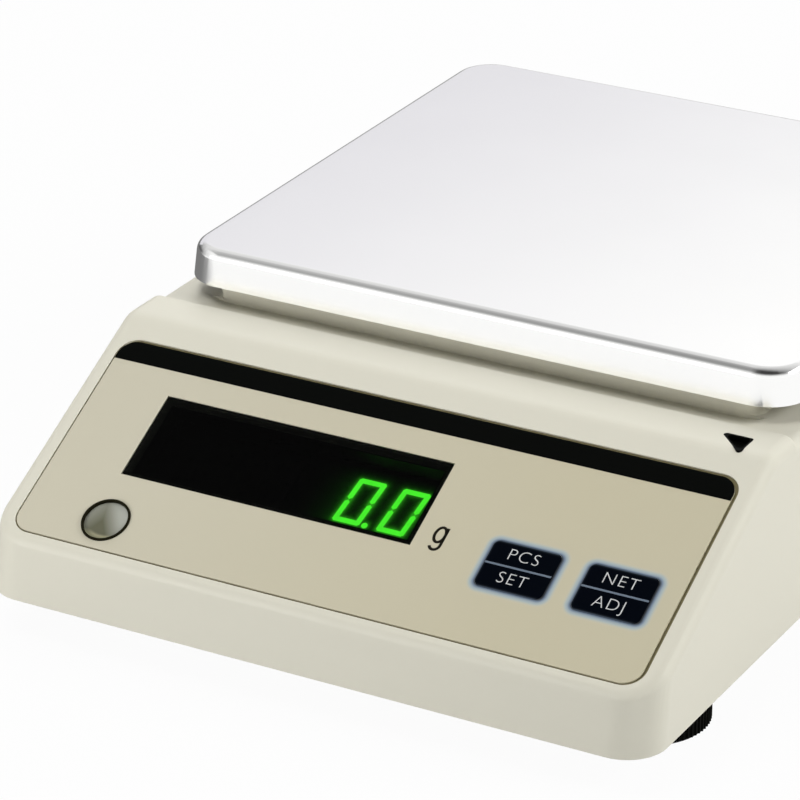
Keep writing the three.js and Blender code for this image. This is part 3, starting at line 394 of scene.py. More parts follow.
class FootSettings(bpy.types.PropertyGroup):
    ribs: IntProperty(
        name="Ribs", description="Number of ribs round each thumb wheel",
        default=72, min=8, max=90,
    )
    rib_depth: FloatProperty(
        name="Rib depth", description="How far each rib stands out of the thumb wheel",
        unit="LENGTH", subtype="DISTANCE", default=0.45 * MM, min=0.2 * MM, max=1.5 * MM,
    )


class StudioSettings(bpy.types.PropertyGroup):
    azimuth: FloatProperty(
        name="Azimuth", description="Camera's turn round the balance",
        subtype="ANGLE", unit="ROTATION", default=math.radians(29.4026),
    )
    elevation: FloatProperty(
        name="Elevation", description="Camera's height above the horizon",
        subtype="ANGLE", unit="ROTATION", default=math.radians(24.6996),
    )
    roll: FloatProperty(
        name="Roll", description="Camera's turn about its own line of sight",
        subtype="ANGLE", unit="ROTATION", default=math.radians(-0.2872),
    )
    distance: FloatProperty(
        name="Distance", description="From the aimed point to the camera",
        unit="LENGTH", subtype="DISTANCE", default=1.050073,
    )
    aim_right: FloatProperty(
        name="Aim, right", description="Aimed point to the right of the panel's lower edge, across the view",
        unit="LENGTH", subtype="DISTANCE", default=0.0222923,
    )
    aim_up: FloatProperty(
        name="Aim, up", description="Aimed point above the panel's lower edge, up the view",
        unit="LENGTH", subtype="DISTANCE", default=0.0506583,
    )
    lens: FloatProperty(
        name="Lens", description="Focal length on a 36 mm sensor",
        unit="CAMERA", default=191.785,
    )
    tent: FloatProperty(
        name="Tent light", description="Strength of the even light from all round",
        default=0.11, min=0, max=2,
    )
    back_lamp: FloatProperty(
        name="Back lamp", description="Power of the soft lamp above and behind, on the left",
        unit="POWER", default=6.3, min=0, max=50,
    )
    front_lamp: FloatProperty(
        name="Front lamp", description="Power of the soft lamp low in front, on the left",
        unit="POWER", default=2.6, min=0, max=50,
    )
    side_lamp: FloatProperty(
        name="Side lamp", description="Power of the soft lamp on the right",
        unit="POWER", default=10.8, min=0, max=50,
    )
    top_lamp: FloatProperty(
        name="Top lamp", description="Power of the soft lamp above and in front",
        unit="POWER", default=6.2, min=0, max=50,
    )


# Shapes in millimetres, made with bmesh
def object_of(name, mesh):
    """A new object in the scene that holds a mesh."""
    made = bpy.data.objects.new(name, mesh)
    bpy.context.scene.collection.objects.link(made)
    return made


def placed(bm, place):
    """A bmesh moved to its place."""
    bmesh.ops.transform(bm, matrix=place, verts=bm.verts)
    return bm


def mesh_from(name, bm, place=None):
    """Turns a bmesh in millimetres into a mesh in metres, at its place on the object."""
    if place is not None:
        placed(bm, place)
    bmesh.ops.scale(bm, vec=(MM, MM, MM), verts=bm.verts)
    mesh = bpy.data.meshes.new(name)
    bm.to_mesh(mesh)
    bm.free()
    return mesh


def hull_of(points):
    """A closed bmesh round a cloud of points."""
    bm = bmesh.new()
    for point in points:
        bm.verts.new(point)
    found = bmesh.ops.convex_hull(bm, input=bm.verts)
    loose = found["geom_interior"] + found["geom_unused"]
    inside = {vert for vert in loose if isinstance(vert, bmesh.types.BMVert)}
    bmesh.ops.delete(bm, geom=list(inside), context="VERTS")
    bmesh.ops.remove_doubles(bm, verts=bm.verts, dist=HULL_WELD)
    bmesh.ops.recalc_face_normals(bm, faces=bm.faces)
    return bm


def ball(x, y, z, radius):
    """Points of a ball that rounds one stretch of an edge."""
    sides = BALL_SIDES if radius > LIP_EDGE_RADIUS else BALL_SIDES // 2
    rings = sides // 2
    for ring in range(rings + 1):
        polar = math.pi * ring / rings
        for side in range(sides if 0 < ring < rings else 1):
            turn = 2 * math.pi * side / sides
            yield Vector((
                x + radius * math.sin(polar) * math.cos(turn),
                y + radius * math.sin(polar) * math.sin(turn),
                z + radius * math.cos(polar),
            ))
    slope = PANEL_SLOPE
    yield Vector((x, y - radius * math.sin(slope), z + radius * math.cos(slope)))


def inner_radius(radius, inset):
    """A rounding's radius on the wall's inner side."""
    return max(radius - inset, INNER_EDGE_RADIUS)


def console_body(inset, bottom_z, edge_radius):
    """The front part: front face, sloped panel and ledge, down to the rim."""
    points = []
    edge = inner_radius(edge_radius, inset)
    corner = max(CORNER_RADIUS - inset, edge)
    lip_edge = min(LIP_EDGE_RADIUS, edge)
    front_plane = FRONT_Y + inset
    back_plane = LIP_Y + LIP_BACK - inset
    slope = PANEL_SLOPE
    bend_z = LEDGE_Z - LEDGE_BEND_RADIUS
    bend_rise = bend_z + LEDGE_BEND_RADIUS / math.cos(slope) - FRONT_EDGE_Z
    bend_y = FRONT_Y + bend_rise / math.tan(slope)
    bend_reach = max(LEDGE_BEND_RADIUS - inset - edge, 0)
    for side in (-1, 1):
        corner_x = half_width_at(FRONT_EDGE_Z) - inset - corner
        rim_x = half_width_at(bottom_z) - inset
        for step in range(CORNER_STEPS + 1):
            turn = -QUARTER + QUARTER * step / CORNER_STEPS
            reach = corner - edge
            y = front_plane + FRONT_LEAN + corner + reach * math.sin(turn)
            z = FRONT_EDGE_Z + (y - FRONT_Y) * math.tan(slope) - (inset + edge) / math.cos(slope)
            points.extend(ball(side * (corner_x + reach * math.cos(turn)), y, z, edge))
            points.append(Vector((
                side * (rim_x - corner + corner * math.cos(turn)),
                front_plane + corner + corner * math.sin(turn),
                bottom_z,
            )))
        for step in range(CORNER_STEPS + 1):
            lean = slope * step / CORNER_STEPS
            z = bend_z + bend_reach * math.cos(lean)
            x = half_width_at(z) - inset - edge
            points.extend(ball(side * x, bend_y - bend_reach * math.sin(lean), z, edge))
        top_x = half_width_at(LEDGE_Z) - inset - edge
        for step in range(CORNER_STEPS + 1):
            rise = QUARTER * step / CORNER_STEPS
            reach = edge - lip_edge
            z = LEDGE_Z - inset - edge + reach * math.sin(rise)
            points.extend(ball(side * (top_x + reach * math.cos(rise)), back_plane - lip_edge, z, lip_edge))
        points.append(Vector((side * rim_x, back_plane, bottom_z)))
    return hull_of(points)


def deck_body(inset, bottom_z, edge_radius):
    """The rear part: from inside the console back to the rear wall."""
    points = []
    edge = inner_radius(edge_radius, inset)
    corner = max(CORNER_RADIUS - inset, edge)
    joint_y = LIP_Y - LEDGE_DEPTH + EDGE_RADIUS
    top_z = DECK_Z - inset - edge
    for side in (-1, 1):
        top_x = half_width_at(top_z) - inset
        rim_x = half_width_at(bottom_z) - inset
        points.extend(ball(side * (top_x - edge), joint_y, top_z, edge))
        points.append(Vector((side * rim_x, joint_y, bottom_z)))
        for step in range(CORNER_STEPS + 1):
            turn = QUARTER * step / CORNER_STEPS
            reach = corner - edge
            x = side * (top_x - corner + reach * math.cos(turn))
            y = rear_y_at(top_z) - inset - corner + reach * math.sin(turn)
            points.extend(ball(x, y, top_z, edge))
            points.append(Vector((
                side * (rim_x - corner + corner * math.cos(turn)),
                rear_y_at(bottom_z) - inset - corner + corner * math.sin(turn),
                bottom_z,
            )))
    return hull_of(points)


def tray_body(width, depth, bottom_z, top_z, corner, edge, flare, centre_y):
    """A body with rounded top edges, widening by a flare on every side towards its bottom."""
    points = []
    for side_x in (-1, 1):
        for side_y in (-1, 1):
            for step in range(CORNER_STEPS + 1):
                turn = QUARTER * step / CORNER_STEPS
                x = width / 2 - corner
                y = depth / 2 - corner
                reach = max(corner - flare - edge, 0)
                points.extend(ball(
                    side_x * (x + reach * math.cos(turn)),
                    centre_y + side_y * (y + reach * math.sin(turn)),
                    top_z - edge,
                    edge,
                ))
                points.append(Vector((
                    side_x * (x + corner * math.cos(turn)),
                    centre_y + side_y * (y + corner * math.sin(turn)),
                    bottom_z,
                )))
    return hull_of(points)


def rounded_outline(width, height, radius):
    """Points of a rounded rectangle, anticlockwise round the origin."""
    outline = []
    for index, (side_x, side_y) in enumerate(((1, 1), (-1, 1), (-1, -1), (1, -1))):
        centre = Vector((side_x * (width / 2 - radius), side_y * (height / 2 - radius)))
        for step in range(CORNER_STEPS + 1):
            turn = QUARTER * (index + step / CORNER_STEPS)
            outline.append(centre + radius * Vector((math.cos(turn), math.sin(turn))))
    return outline


def round_outline(radius, sides=ROUND_SIDES):
    """Points of a circle, anticlockwise round the origin."""
    return [
        radius * Vector((math.cos(2 * math.pi * k / sides), math.sin(2 * math.pi * k / sides)))
        for k in range(sides)
    ]


def key_outline(gap=0.0):
    """A key's outline, wider by a gap on every side."""
    return rounded_outline(KEY_WIDTH + 2 * gap, KEY_HEIGHT + 2 * gap, KEY_CORNER_RADIUS + gap)


def overlay_outline(gap=0.0):
    """The overlay's outline, wider by a gap on every side."""
    return rounded_outline(OVERLAY_WIDTH + 2 * gap, OVERLAY_HEIGHT + 2 * gap, OVERLAY_CORNER_RADIUS + gap)


def slab_of(outline, low, high, x=0, y=0, bevel=0):
    """A flat plate with the given outline between two heights, its top edge rounded by a small bevel."""
    bm = bmesh.new()
    bottom = [bm.verts.new((p.x + x, p.y + y, low)) for p in outline]
    face = bm.faces.new(bottom)
    raised = bmesh.ops.extrude_face_region(bm, geom=[face])
    top = [v for v in raised["geom"] if isinstance(v, bmesh.types.BMVert)]
    bmesh.ops.translate(bm, vec=(0, 0, high - low), verts=top)
    if bevel:
        rim = [e for e in bm.edges if e.verts[0] in top and e.verts[1] in top]
        bmesh.ops.bevel(bm, geom=rim, offset=bevel, segments=3, profile=0.5, affect="EDGES")
    bmesh.ops.recalc_face_normals(bm, faces=bm.faces)
    return bm


def rod_of(radius, low, high, x=0, y=0):
    """An upright round bar between two heights."""
    return slab_of(round_outline(radius), low, high, x, y)


def block_of(width, depth, low, high, x=0, y=0):
    """An upright square bar between two heights."""
    half = Vector((width / 2, depth / 2))
    corners = [Vector((sx * half.x, sy * half.y)) for sx, sy in ((1, 1), (-1, 1), (-1, -1), (1, -1))]
    return slab_of(corners, low, high, x, y)


def window_block(gap, low, high):
    """A square bar over the window, wider by a gap on every side, between two heights."""
    return block_of(WINDOW_WIDTH + 2 * gap, WINDOW_HEIGHT + 2 * gap, low, high, WINDOW_X, WINDOW_UP)


def turned_profile(profile):
    """A closed body turned about Z from (radius, height) points that close a ring or end on the axis."""
    bm = bmesh.new()
    sides = ROUND_SIDES
    loops = []
    for radius, z in profile:
        if radius == 0:
            loops.append([bm.verts.new((0, 0, z))])
        else:
            loops.append([bm.verts.new((*point, z)) for point in round_outline(radius)])
    pairs = list(zip(loops, loops[1:]))
    if profile[0][0] and profile[-1][0]:
        pairs.append((loops[-1], loops[0]))
    for low, high in pairs:
        for k in range(sides):
            after = (k + 1) % sides
            corners = []
            ends = (low, k), (low, after), (high, after), (high, k)
            for vert in (loop[place % len(loop)] for loop, place in ends):
                if vert not in corners:
                    corners.append(vert)
            if len(corners) > 2:
                bm.faces.new(corners)
    bmesh.ops.recalc_face_normals(bm, faces=bm.faces)
    return bm


def evaluated_mesh(source, name):
    """The mesh of an object with its modifiers applied."""
    bpy.context.view_layer.update()
    graph = bpy.context.evaluated_depsgraph_get()
    mesh = bpy.data.meshes.new_from_object(source.evaluated_get(graph), depsgraph=graph)
    mesh.name = name
    return mesh


def add(shape, place=None):
    """A step that joins a shape to a body."""
    return "UNION", shape, place


def cut(shape, place=None):
    """A step that cuts a shape out of a body."""
    return "DIFFERENCE", shape, place


def booled(name, base, steps):
    """Joins and cuts shapes in order; the result is a plain mesh."""
    body = object_of(name, mesh_from(name, base))
    tools = []
    for number, (operation, shape, place) in enumerate(steps):
        tool = object_of(f"{name}_tool_{number}", mesh_from(f"{name}_tool_{number}", shape, place))
        modifier = body.modifiers.new(f"step_{number}", "BOOLEAN")
        modifier.operation = operation
        modifier.solver = "MANIFOLD"
        modifier.object = tool
        tools.append(tool)
    mesh = evaluated_mesh(body, name)
    for spent in [body, *tools]:
        bpy.data.objects.remove(spent)
    return mesh


def smoothed(mesh, name, sharp_degrees=SHARP_ANGLE):
    """A mesh with smooth rounded faces and flat faces kept flat."""
    bm = bmesh.new()
    bm.from_mesh(mesh)
    bmesh.ops.remove_doubles(bm, verts=bm.verts, dist=SMOOTH_WELD * MM)
    bmesh.ops.dissolve_degenerate(bm, edges=bm.edges, dist=SMOOTH_WELD * MM)
    for edge in bm.edges:
        edge.smooth = edge.calc_face_angle(0) < math.radians(sharp_degrees)
    for face in bm.faces:
        face.smooth = True
    bm.to_mesh(mesh)
    bm.free()
    body = object_of(name, mesh)
    modifier = body.modifiers.new("flat_faces_lead", "WEIGHTED_NORMAL")
    modifier.mode = "FACE_AREA"
    modifier.keep_sharp = True
    finished = evaluated_mesh(body, name)
    bpy.data.objects.remove(body)
    return finished


def finished_piece(name, mesh, body, material):
    """Puts a finished mesh in the scene, riding on its body."""
    mesh.materials.clear()
    mesh.materials.append(material)
    piece = object_of(name, mesh)
    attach(piece, body)
    return piece


def finish_node(node, material):
    """Gives a CAD node's object one material."""
    target = frame["nodes"][node]
    target.data.materials.clear()
    target.data.materials.append(material)


# Shader node groups shared by the materials
def new_group(name, inputs, outputs):
    """An empty shader group with named sockets."""
    group = bpy.data.node_groups.new(name, "ShaderNodeTree")
    for label, kind, value in inputs:
        socket = group.interface.new_socket(name=label, in_out="INPUT", socket_type=kind)
        socket.default_value = value
    for label, kind in outputs:
        group.interface.new_socket(name=label, in_out="OUTPUT", socket_type=kind)
    entry = group.nodes.new("NodeGroupInput")
    leave = group.nodes.new("NodeGroupOutput")
    return group, entry, leave


def put_out(group, leave, **values):
    """Links values to a group's named outputs."""
    for label, value in values.items():
        group.links.new(value, leave.inputs[label])


def set_inputs(node, **values):
    """Sets a node's sockets; an underscore in a label stands for a space."""
    for label, value in values.items():
        node.inputs[label.replace("_", " ")].default_value = value


def math_node(tree, operation, first, second):
    """A Math node whose inputs are sockets or numbers."""
    node = tree.nodes.new("ShaderNodeMath")
    node.operation = operation
    for socket, value in zip(node.inputs, (first, second)):
        if isinstance(value, (int, float)):
            socket.default_value = value
        else:
            tree.links.new(value, socket)
    return node.outputs["Value"]


def colour_mix(tree, factor, first, second, blend="MIX"):
    """A colour Mix node whose inputs are sockets or colours."""
    node = tree.nodes.new("ShaderNodeMix")
    node.data_type = "RGBA"
    node.blend_type = blend
    for socket, value in ((node.inputs[0], factor), (node.inputs[6], first), (node.inputs[7], second)):
        if isinstance(value, (int, float)):
            socket.default_value = value
        elif isinstance(value, tuple):
            socket.default_value = value if len(value) == 4 else (*value, 1)
        else:
            tree.links.new(value, socket)
    return node.outputs[2]


def noise_node(tree, vector, scale, detail=3.0):
    """A Noise Texture's value output."""
    node = tree.nodes.new("ShaderNodeTexNoise")
    set_inputs(node, Detail=detail, Roughness=0.5)
    tree.links.new(vector, node.inputs["Vector"])
    if isinstance(scale, (int, float)):
        node.inputs["Scale"].default_value = scale
    else:
        tree.links.new(scale, node.inputs["Scale"])
    return node.outputs["Fac"]


def ramp_node(tree, value, *stops):
    """A colour ramp over a value's range: stops are (value, colour) pairs in rising order."""
    low, high = stops[0][0], stops[-1][0]
    spread = tree.nodes.new("ShaderNodeMapRange")
    spread.inputs["From Min"].default_value = low
    spread.inputs["From Max"].default_value = high
    tree.links.new(value, spread.inputs["Value"])
    ramp = tree.nodes.new("ShaderNodeValToRGB")
    elements = ramp.color_ramp.elements
    while len(elements) < len(stops):
        elements.new(0.5)
    for element, (stop, colour) in zip(elements, stops):
        element.position = (stop - low) / (high - low)
        element.color = (*colour, 1) if isinstance(colour, tuple) else (colour, colour, colour, 1)
    tree.links.new(spread.outputs["Result"], ramp.inputs["Fac"])
    return ramp.outputs["Color"]


def object_place(tree):
    """The place on the surface, in Object coordinates."""
    return tree.nodes.new("ShaderNodeTexCoord").outputs["Object"]


def axes_of(tree, vector):
    """A vector's X, Y and Z outputs."""
    node = tree.nodes.new("ShaderNodeSeparateXYZ")
    tree.links.new(vector, node.inputs["Vector"])
    return node.outputs


def grey_of(tree, level):
    """A grey of the given level."""
    node = tree.nodes.new("ShaderNodeCombineColor")
    for socket in node.inputs:
        tree.links.new(level, socket)
    return node.outputs["Color"]


def scaled(tree, value, factor, base):
    """A value times a factor, plus a base."""
    return math_node(tree, "ADD", math_node(tree, "MULTIPLY", value, factor), base)


def swung(tree, noise, swing, middle):
    """A middle value that a noise moves up and down."""
    return scaled(tree, math_node(tree, "SUBTRACT", noise, 0.5), swing, middle)


def weighted(tree, first, first_share, second, second_share):
    """The sum of two values, each times its share."""
    return scaled(tree, first, first_share, math_node(tree, "MULTIPLY", second, second_share))


def finish_group(name, *numbers):
    """An empty group that puts out a surface's colour, roughness and height."""
    inputs = [("Colour", "NodeSocketColor", (0.8, 0.8, 0.8, 1))]
    inputs.extend((label, "NodeSocketFloat", value) for label, value in numbers)
    outputs = [("Colour", "NodeSocketColor"), ("Roughness", "NodeSocketFloat"), ("Height", "NodeSocketFloat")]
    return new_group(name, inputs, outputs)


def moulded_group():
    """Colour drift, sheen drift and spark-eroded grain of a moulded surface."""
    group, entry, leave = finish_group(
        "moulded_surface", ("Drift", 0.02), ("Roughness", 0.4), ("Grain Scale", 1500),
    )
    place = object_place(group)
    cloud = noise_node(group, place, 14.0, 4.0)
    grain = noise_node(group, place, entry.outputs["Grain Scale"], 2.0)
    grey = grey_of(group, swung(group, cloud, entry.outputs["Drift"], 1.0))
    tinted = colour_mix(group, 1.0, entry.outputs["Colour"], grey, "MULTIPLY")
    rough = swung(group, grain, 0.12, entry.outputs["Roughness"])
    put_out(group, leave, Colour=tinted, Roughness=rough, Height=grain)
    return group


def metal_group():
    """Colour, sheen and fine lines along X of rolled or machined metal."""
    group, entry, leave = finish_group(
        "worked_metal", ("Roughness", 0.25), ("Roughness Swing", 0.08), ("Line Scale", 900),
    )
    place = object_place(group)
    stretch = group.nodes.new("ShaderNodeMapping")
    stretch.inputs["Scale"].default_value = (0.03, 1, 1)
    group.links.new(place, stretch.inputs["Vector"])
    lines = noise_node(group, stretch.outputs["Vector"], entry.outputs["Line Scale"])
    smudge = noise_node(group, place, 22.0)
    tinted = colour_mix(
        group, 1.0, entry.outputs["Colour"], grey_of(group, swung(group, smudge, 0.05, 1.0)), "MULTIPLY",
    )
    both = weighted(group, lines, 0.4, smudge, 0.6)
    rough = swung(group, both, entry.outputs["Roughness Swing"], entry.outputs["Roughness"])
    put_out(group, leave, Colour=tinted, Roughness=rough, Height=lines)
    return group


def empty_tree(owner):
    """The node tree of a material or world, emptied."""
    owner.use_nodes = True
    owner.node_tree.nodes.clear()
    return owner.node_tree


def shader_tree(name):
    """A new material with a Principled shader; returns the material, its tree and the shader."""
    material = bpy.data.materials.new(name)
    tree = empty_tree(material)
    output = tree.nodes.new("ShaderNodeOutputMaterial")
    shader = tree.nodes.new("ShaderNodeBsdfPrincipled")
    tree.links.new(shader.outputs["BSDF"], output.inputs["Surface"])
    return material, tree, shader


def roughen(tree, shader, noise, swing, base):
    """Gives a shader a roughness that follows a noise."""
    tree.links.new(scaled(tree, noise, swing, base), shader.inputs["Roughness"])


def emboss(tree, shader, height, strength, depth):
    """Gives a shader relief of a depth in millimetres."""
    relief = tree.nodes.new("ShaderNodeBump")
    set_inputs(relief, Strength=strength, Distance=depth * MM)
    tree.links.new(height, relief.inputs["Height"])
    tree.links.new(relief.outputs["Normal"], shader.inputs["Normal"])


def surface(name, group, colour, values, bump, **constants):
    """A material whose colour, roughness and relief come from a group; constants are set on the shader."""
    material, tree, shader = shader_tree(name)
    node = tree.nodes.new("ShaderNodeGroup")
    node.node_tree = group
    set_inputs(node, Colour=(*colour, 1), **values)
    emboss(tree, shader, node.outputs["Height"], *bump)
    tree.links.new(node.outputs["Colour"], shader.inputs["Base Color"])
    tree.links.new(node.outputs["Roughness"], shader.inputs["Roughness"])
    set_inputs(shader, **constants)
    return material


def plastic(name, colour, roughness, drift=0.03, grain=1500, bump=(0.12, 0.02), **constants):
    """Moulded plastic, paint, ink or rubber."""
    values = {"Roughness": roughness, "Drift": drift, "Grain Scale": grain}
    return surface(name, GROUPS["moulded"], colour, values, bump, **constants)


def metal(name, colour, roughness, swing=0.08, lines=900, bump=(0.05, 0.01)):
    """Rolled, machined or plated metal."""
    values = {"Roughness": roughness, "Roughness Swing": swing, "Line Scale": lines}
    return surface(name, GROUPS["metal"], colour, values, bump, Metallic=1.0)


def base_colour(tree):
    """The Base Color socket of a material's Principled shader."""
    return next(node for node in tree.nodes if node.type == "BSDF_PRINCIPLED").inputs["Base Color"]


def film_material(name, colour):
    """The overlay's printed film, a little warmer and darker towards the right."""
    material = plastic(name, colour, 0.46, drift=0.03, grain=2600, bump=(0.08, 0.01))
    tree = material.node_tree
    across = axes_of(tree, object_place(tree))["X"]
    warmth = ramp_node(tree, across, (-0.07, (1.0, 1.0, 1.0)), (0.05, (0.955, 0.935, 0.86)))
    plain = base_colour(tree).links[0].from_socket
    tree.links.new(colour_mix(tree, 1.0, plain, warmth, "MULTIPLY"), base_colour(tree))
    return material


def glow_material(name, colour, strength):
    """A lit segment's face, a little darker in patches."""
    material, tree, shader = shader_tree(name)
    patch = noise_node(tree, object_place(tree), 400.0, 2.0)
    grey = grey_of(tree, scaled(tree, patch, 0.3, 0.85))
    tinted = colour_mix(tree, 1.0, (*colour, 1), grey, "MULTIPLY")
    tree.links.new(tinted, shader.inputs["Emission Color"])
    tree.links.new(tinted, shader.inputs["Base Color"])
    set_inputs(shader, Emission_Strength=strength, Roughness=0.6)
    return material


def halo_material(name, colour, strength):
    """The dark face round the digits, with the green light that spills on it."""
    material, tree, shader = shader_tree(name)
    spill = tree.nodes.new("ShaderNodeAttribute")
    spill.attribute_name = "spill"
    speck = noise_node(tree, object_place(tree), 900.0, 2.0)
    level = math_node(tree, "MULTIPLY", spill.outputs["Fac"], math_node(tree, "ADD", speck, 0.5))
    tinted = colour_mix(tree, level, (0, 0, 0, 1), (*colour, 1))
    tree.links.new(tinted, shader.inputs["Emission Color"])
    set_inputs(shader, Emission_Strength=strength, Base_Color=(0.004, 0.005, 0.004, 1), Roughness=0.7)
    return material


def glass_material(name, colour, roughness, ior):
    """Clear or tinted plate; fine dust shows as a change of roughness."""
    material, tree, shader = shader_tree(name)
    roughen(tree, shader, noise_node(tree, object_place(tree), 600.0, 4.0), roughness, roughness / 2)
    set_inputs(shader, Base_Color=(*colour, 1), Transmission_Weight=1.0, IOR=ior)
    return material


def panel_mapping(tree, scale):
    """A Mapping node from the surface's place to the panel's axes, in units of a length in millimetres."""
    node = tree.nodes.new("ShaderNodeMapping")
    node.vector_type = "TEXTURE"
    set_inputs(node, Rotation=(PANEL_SLOPE, 0, 0), Scale=(scale * MM,) * 3)
    tree.links.new(object_place(tree), node.inputs["Vector"])
    return node


def level_material(name):
    """The level's domed face: olive, with painted light that makes its upper right and upper left paler, and a
    pale crescent low down.
    """
    material, tree, shader = shader_tree(name)
    centre = panel_mapping(tree, LEVEL_RADIUS - LEVEL_RING_WIDTH)
    centre.inputs["Location"].default_value = PANEL @ Vector((LEVEL_X, LEVEL_UP, 0)) * MM
    axes = axes_of(tree, centre.outputs["Vector"])
    across = axes["X"]
    upward = axes["Y"]
    # Painted light: the face grows paler towards its upper right and its upper left.
    painted_right_light = ramp_node(
        tree, weighted(tree, across, 0.72, upward, 0.50), (-0.12, 0.0), (0.22, 0.36), (0.75, 1.0),
    )
    painted_left_light = ramp_node(tree, weighted(tree, across, -0.80, upward, 0.50), (0.10, 0.0), (0.95, 0.42))
    light = math_node(tree, "MAXIMUM", painted_right_light, painted_left_light)
    body = colour_mix(tree, light, (0.125, 0.125, 0.080), (0.52, 0.53, 0.47))
    rise = math_node(tree, "SUBTRACT", upward, 0.25)
    side = math_node(tree, "SUBTRACT", across, 0.1)
    squares = scaled(tree, rise, rise, math_node(tree, "MULTIPLY", side, side))
    ring = ramp_node(tree, math_node(tree, "POWER", squares, 0.5), (0.94, 0.0), (1.06, 1.0))
    low = ramp_node(tree, upward, (-0.80, 1.0), (-0.56, 0.0))
    crescent = math_node(tree, "MULTIPLY", ring, low)
    tinted = colour_mix(tree, crescent, body, (0.33, 0.32, 0.20))
    tree.links.new(tinted, shader.inputs["Base Color"])
    roughen(tree, shader, noise_node(tree, object_place(tree), 700.0), 0.1, 0.2)
    shader.inputs["Specular IOR Level"].default_value = 0.3
    return material


def edge_distance_group():
    """Distance in millimetres to a rounded rectangle's edge on the panel, below zero inside it."""
    group, entry, leave = new_group(
        "edge_distance",
        [
            ("Half Width", "NodeSocketFloat", 5),
            ("Half Height", "NodeSocketFloat", 5),
            ("Corner", "NodeSocketFloat", 1),
            ("Middle", "NodeSocketVector", (0, 0, 0)),
        ],
        [("Distance", "NodeSocketFloat")],
    )
    centre = panel_mapping(group, 1)
    group.links.new(entry.outputs["Middle"], centre.inputs["Location"])
    axes = axes_of(group, centre.outputs["Vector"])
    beyond = []
    for axis, half in (("X", "Half Width"), ("Y", "Half Height")):
        reach = math_node(group, "SUBTRACT", entry.outputs[half], entry.outputs["Corner"])
        away = math_node(group, "MAXIMUM", axes[axis], math_node(group, "MULTIPLY", axes[axis], -1))
        beyond.append(math_node(group, "SUBTRACT", away, reach))
    outside = [math_node(group, "MAXIMUM", value, 0.0) for value in beyond]
    squares = [math_node(group, "MULTIPLY", value, value) for value in outside]
    length = math_node(group, "POWER", math_node(group, "ADD", *squares), 0.5)
    inside = math_node(group, "MINIMUM", math_node(group, "MAXIMUM", *beyond), 0.0)
    distance = math_node(group, "SUBTRACT", math_node(group, "ADD", length, inside), entry.outputs["Corner"])
    put_out(group, leave, Distance=distance)
    return group


def key_distance(tree, x):
    """The distance to a key's edge as a socket."""
    middle = PANEL @ Vector((x + KEY_PRINT_RIGHT, KEY_UP - KEY_PRINT_DOWN, 0)) * MM
    node = tree.nodes.new("ShaderNodeGroup")
    node.node_tree = GROUPS["edge"]
    set_inputs(
        node,
        Half_Width=KEY_WIDTH / 2 + KEY_PRINT_WIDER,
        Half_Height=KEY_HEIGHT / 2 - KEY_PRINT_TRIM,
        Corner=KEY_CORNER_RADIUS - 2 * KEY_PRINT_TRIM,
        Middle=middle,
    )
    return node.outputs["Distance"]


def key_shade(tree, distance, settings):
    """The key print's colour across its edge: dark ground, blue line, pale edge, film."""
    ground, line, film = (Vector(colour) for colour in (settings.key_ink, settings.key_line, settings.film))
    pale = Vector((0.40, 0.47, 0.475))
    stops = (
        (-0.62, ground), (-0.25, line * 0.05), (-0.05, line * 0.24), (0.14, line * 0.47),
        (0.39, line * 0.86), (0.64, line.lerp(pale, 0.3)), (0.89, line.lerp(pale, 0.75)),
        (KEY_EDGE_PALE, pale), (KEY_FADE, film),
    )
    return ramp_node(tree, distance, *((stop, tuple(colour)) for stop, colour in stops))


def key_material(name, x, settings):
    """A key's dark face with its soft blue edge."""
    material, tree, shader = shader_tree(name)
    shade = key_shade(tree, key_distance(tree, x), settings)
    tree.links.new(shade, shader.inputs["Base Color"])
    roughen(tree, shader, noise_node(tree, object_place(tree), 2400.0, 2.0), 0.1, 0.32)
    shader.inputs["Specular IOR Level"].default_value = 0.02
    return material


def frame_material(name, x, settings):
    """The film round a key, under the outer part of the key's soft edge."""
    material = film_material(name, settings.film)
    tree = material.node_tree
    distance = key_distance(tree, x)
    fade = ramp_node(tree, distance, (KEY_EDGE_PALE, 1.0), (KEY_FADE, 0.0))
    film = base_colour(tree).links[0].from_socket
    tree.links.new(colour_mix(tree, fade, film, key_shade(tree, distance, settings)), base_colour(tree))
    return material


def board_material(name, colour):
    """Solder-masked circuit board with a net of tracks just under the mask."""
    material, tree, shader = shader_tree(name)
    tracks = tree.nodes.new("ShaderNodeTexBrick")
    mask, shaded, track = ((*(min(1, share * c) for c in colour), 1) for share in (1, 0.9, 1.5))
    set_inputs(tracks, Scale=220, Mortar_Size=0.02, Color1=mask, Color2=shaded, Mortar=track)
    tree.links.new(object_place(tree), tracks.inputs["Vector"])
    tree.links.new(tracks.outputs["Color"], shader.inputs["Base Color"])
    roughen(tree, shader, noise_node(tree, object_place(tree), 500.0), 0.2, 0.3)
    emboss(tree, shader, tracks.outputs["Fac"], 0.1, 0.02)
    return material


def ribbon_material(name):
    """Grey flat cable with a groove between its conductors."""
    material, tree, shader = shader_tree(name)
    stripes = tree.nodes.new("ShaderNodeTexWave")
    stripes.wave_type = "BANDS"
    stripes.bands_direction = "X"
    stripes.inputs["Scale"].default_value = 250
    tree.links.new(object_place(tree), stripes.inputs["Vector"])
    tinted = colour_mix(tree, stripes.outputs["Fac"], (0.22, 0.22, 0.21, 1), (0.36, 0.36, 0.35, 1))
    tree.links.new(tinted, shader.inputs["Base Color"])
    shader.inputs["Roughness"].default_value = 0.5
    emboss(tree, shader, stripes.outputs["Fac"], 0.4, 0.1)
    return material


